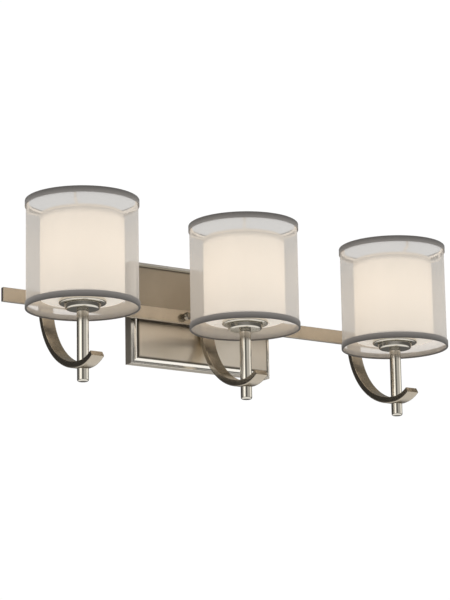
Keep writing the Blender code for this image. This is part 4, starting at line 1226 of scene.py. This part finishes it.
def make_world():
    """White beyond the stage, a soft ambient for plain surfaces, and upright studio panels for metal."""
    world = bpy.data.worlds.new("studio")
    bpy.context.scene.world = world
    world.use_nodes = True
    world.cycles.sampling_method = "NONE"
    world.node_tree.nodes.clear()
    bench = NodeBench(world.node_tree)
    direction = bench.vector("NORMALIZE", bench.add("ShaderNodeTexCoord").outputs["Generated"])
    axis = bench.add("ShaderNodeSeparateXYZ")
    bench.join(direction, axis.inputs["Vector"])
    turn = bench.math("ARCTAN2", axis.outputs["X"], bench.math("MULTIPLY", axis.outputs["Y"], -1.0))
    panels = bench.add("ShaderNodeValToRGB")
    bench.join(bench.spread(turn, -math.pi, math.pi), panels.inputs["Fac"])
    ramp = panels.color_ramp
    ramp.interpolation = "LINEAR"
    brightest = max(radiance for _, radiance in STUDIO)
    while len(ramp.elements) < len(STUDIO):
        ramp.elements.new(0.5)
    for element, (bearing, _) in zip(ramp.elements, STUDIO):
        element.position = (bearing + 180) / 360
    for element, (_, radiance) in zip(ramp.elements, STUDIO):
        level = radiance / brightest
        element.color = (level, level * 0.975, level * 0.93, 1.0)
    around = bench.vector("SCALE", panels.outputs["Color"])
    around.node.inputs["Scale"].default_value = brightest
    overhead = bench.spread(axis.outputs["Z"], 0.42, 0.72, smooth=True)
    seen = bench.mix(overhead, around, (0.26, 0.235, 0.19, 1.0))
    plain = bench.mix(bench.spread(axis.outputs["Z"], -1.0, 1.0), (0.95, 0.92, 0.88, 1.0),
                      (0.92, 0.91, 0.89, 1.0))
    path = bench.add("ShaderNodeLightPath")
    backgrounds = []
    for colour in (plain, seen, (1.0, 1.0, 1.0, 1.0)):
        background = bench.add("ShaderNodeBackground")
        bench.feed(colour, background.inputs["Color"])
        backgrounds.append(background)
    backgrounds[2].inputs["Strength"].default_value = 1.02
    choose = bench.add("ShaderNodeMixShader")
    bench.join(path.outputs["Is Glossy Ray"], choose.inputs["Fac"])
    bench.join(backgrounds[0].outputs["Background"], choose.inputs[1])
    bench.join(backgrounds[1].outputs["Background"], choose.inputs[2])
    finish = bench.add("ShaderNodeMixShader")
    bench.join(path.outputs["Is Camera Ray"], finish.inputs["Fac"])
    bench.join(choose.outputs["Shader"], finish.inputs[1])
    bench.join(backgrounds[2].outputs["Background"], finish.inputs[2])
    output = bench.add("ShaderNodeOutputWorld")
    bench.join(finish.outputs["Shader"], output.inputs["Surface"])


FLOOR_DEPTH = -1.35


def make_floor():
    """Plain pale floor, well below the fixture, brightest near it."""
    bm = bmesh.new()
    bmesh.ops.create_circle(bm, cap_ends=True, radius=40.0, segments=64)
    bmesh.ops.translate(bm, vec=(0, 0, FLOOR_DEPTH), verts=bm.verts)
    mesh = bpy.data.meshes.new("floor")
    bm.to_mesh(mesh)
    bm.free()
    floor = bpy.data.objects.new("floor", mesh)
    bpy.context.scene.collection.objects.link(floor)
    material, bench, shader = new_material("pale_floor", "")
    reach = bench.vector("LENGTH", bench.vector("SUBTRACT", bench.add("ShaderNodeTexCoord").outputs["Object"],
                                                (0.0, -0.3, FLOOR_DEPTH)))
    near = bench.spread(reach, 1.6, 4.0, 1.0, 0.0, smooth=True)
    shader.inputs["Base Color"].default_value = (0.12, 0.118, 0.115, 1.0)
    shader.inputs["Roughness"].default_value = 1.0
    shader.inputs["Specular IOR Level"].default_value = 0.0
    seen = bench.add("ShaderNodeLightPath").outputs["Is Camera Ray"]
    bench.join(bench.mix(bench.math("MAXIMUM", near, seen), (0.0, 0.0, 0.0, 1.0), (0.86, 0.85, 0.83, 1.0)),
               shader.inputs["Emission Color"])
    shader.inputs["Emission Strength"].default_value = 1.0
    mesh.materials.append(material)


def make_camera():
    """Long lens from the left, a little below the lamps."""
    camera = bpy.data.objects.new("camera", bpy.data.cameras.new("camera"))
    bpy.context.scene.collection.objects.link(camera)
    camera.data.lens = 150.69
    camera.data.sensor_width = 36.0
    camera.data.clip_start, camera.data.clip_end = 0.05, 100.0
    camera.location = (-1.59331, -2.41674, -0.63733)
    aim = Vector((0.54638, 0.80685, 0.22465))
    camera.rotation_mode = "QUATERNION"
    roll = Quaternion((0, 0, 1), math.radians(-1.0174))
    camera.rotation_quaternion = aim.to_track_quat("-Z", "Y") @ roll
    bpy.context.scene.camera = camera


def make_stage():
    make_world()
    make_floor()
    make_camera()
    bpy.context.scene.view_settings.view_transform = "Standard"


# Operators, panel and registration -----------------------------------------------------------------
def make_operator(key, label, text, build):
    """Operator class that runs one builder; a failure raises."""
    def execute(self, context):
        build()
        return {"FINISHED"}
    return type("LIGHTBAR_OT_" + key, (bpy.types.Operator,), {
        "__doc__": text, "bl_idname": "lightbar." + key, "bl_label": label, "execute": execute})


OPERATORS = [make_operator(*row) for row in (
    ("stage", "Stage", "Add the floor, the studio light and the camera", make_stage),
    ("fixings", "Fixings", "Add the strap, studs, spacers, earth screw and ball nuts", make_fixings),
    ("backplate", "Backplate", "Add the pressed backplate", make_backplate),
    ("bar", "Bar", "Add the flat bar", make_bar),
    ("arms", "Arms", "Add the three J-shaped arms and their screws", make_arms),
    ("stems", "Stems", "Add the stems, nipples and finials", make_stems),
    ("cups", "Cups", "Add the two-tier cups", make_cups),
    ("sockets", "Sockets", "Add the sockets and their clamp rings", make_sockets),
    ("bulbs", "Bulbs", "Add the lamps", make_bulbs),
    ("drums", "Drums", "Add the opal drums", make_drums),
    ("hangers", "Hangers", "Add the frames that carry the shades", make_hangers),
    ("shades", "Shades", "Add the sheer shades and their tapes", make_shades),
    ("leads", "Leads", "Add the sleeved leads", make_leads),
)]


class LIGHTBAR_PT_panel(bpy.types.Panel):
    """Lists the operators that build the light bar."""
    bl_label = "Vanity Light Bar"
    bl_idname = "LIGHTBAR_PT_panel"
    bl_space_type = "VIEW_3D"
    bl_region_type = "UI"
    bl_category = "Light Bar"

    def draw(self, context):
        for group in (context.scene.lightbar_sizes, context.scene.lightbar_colours):
            for name in group.__annotations__:
                self.layout.prop(group, name)
        for kind in OPERATORS:
            self.layout.operator(kind.bl_idname)


CLASSES = [LIGHTBAR_PG_sizes, LIGHTBAR_PG_colours, *OPERATORS, LIGHTBAR_PT_panel]


def register():
    for kind in CLASSES:
        bpy.utils.register_class(kind)
    bpy.types.Scene.lightbar_sizes = PointerProperty(type=LIGHTBAR_PG_sizes)
    bpy.types.Scene.lightbar_colours = PointerProperty(type=LIGHTBAR_PG_colours)


def unregister():
    del bpy.types.Scene.lightbar_colours
    del bpy.types.Scene.lightbar_sizes
    for kind in reversed(CLASSES):
        bpy.utils.unregister_class(kind)


def main():
    register()
    for kind in OPERATORS:
        name = kind.bl_idname.split(".")[1]
        getattr(bpy.ops.lightbar, name)()


if __name__ == "__main__":
    main()
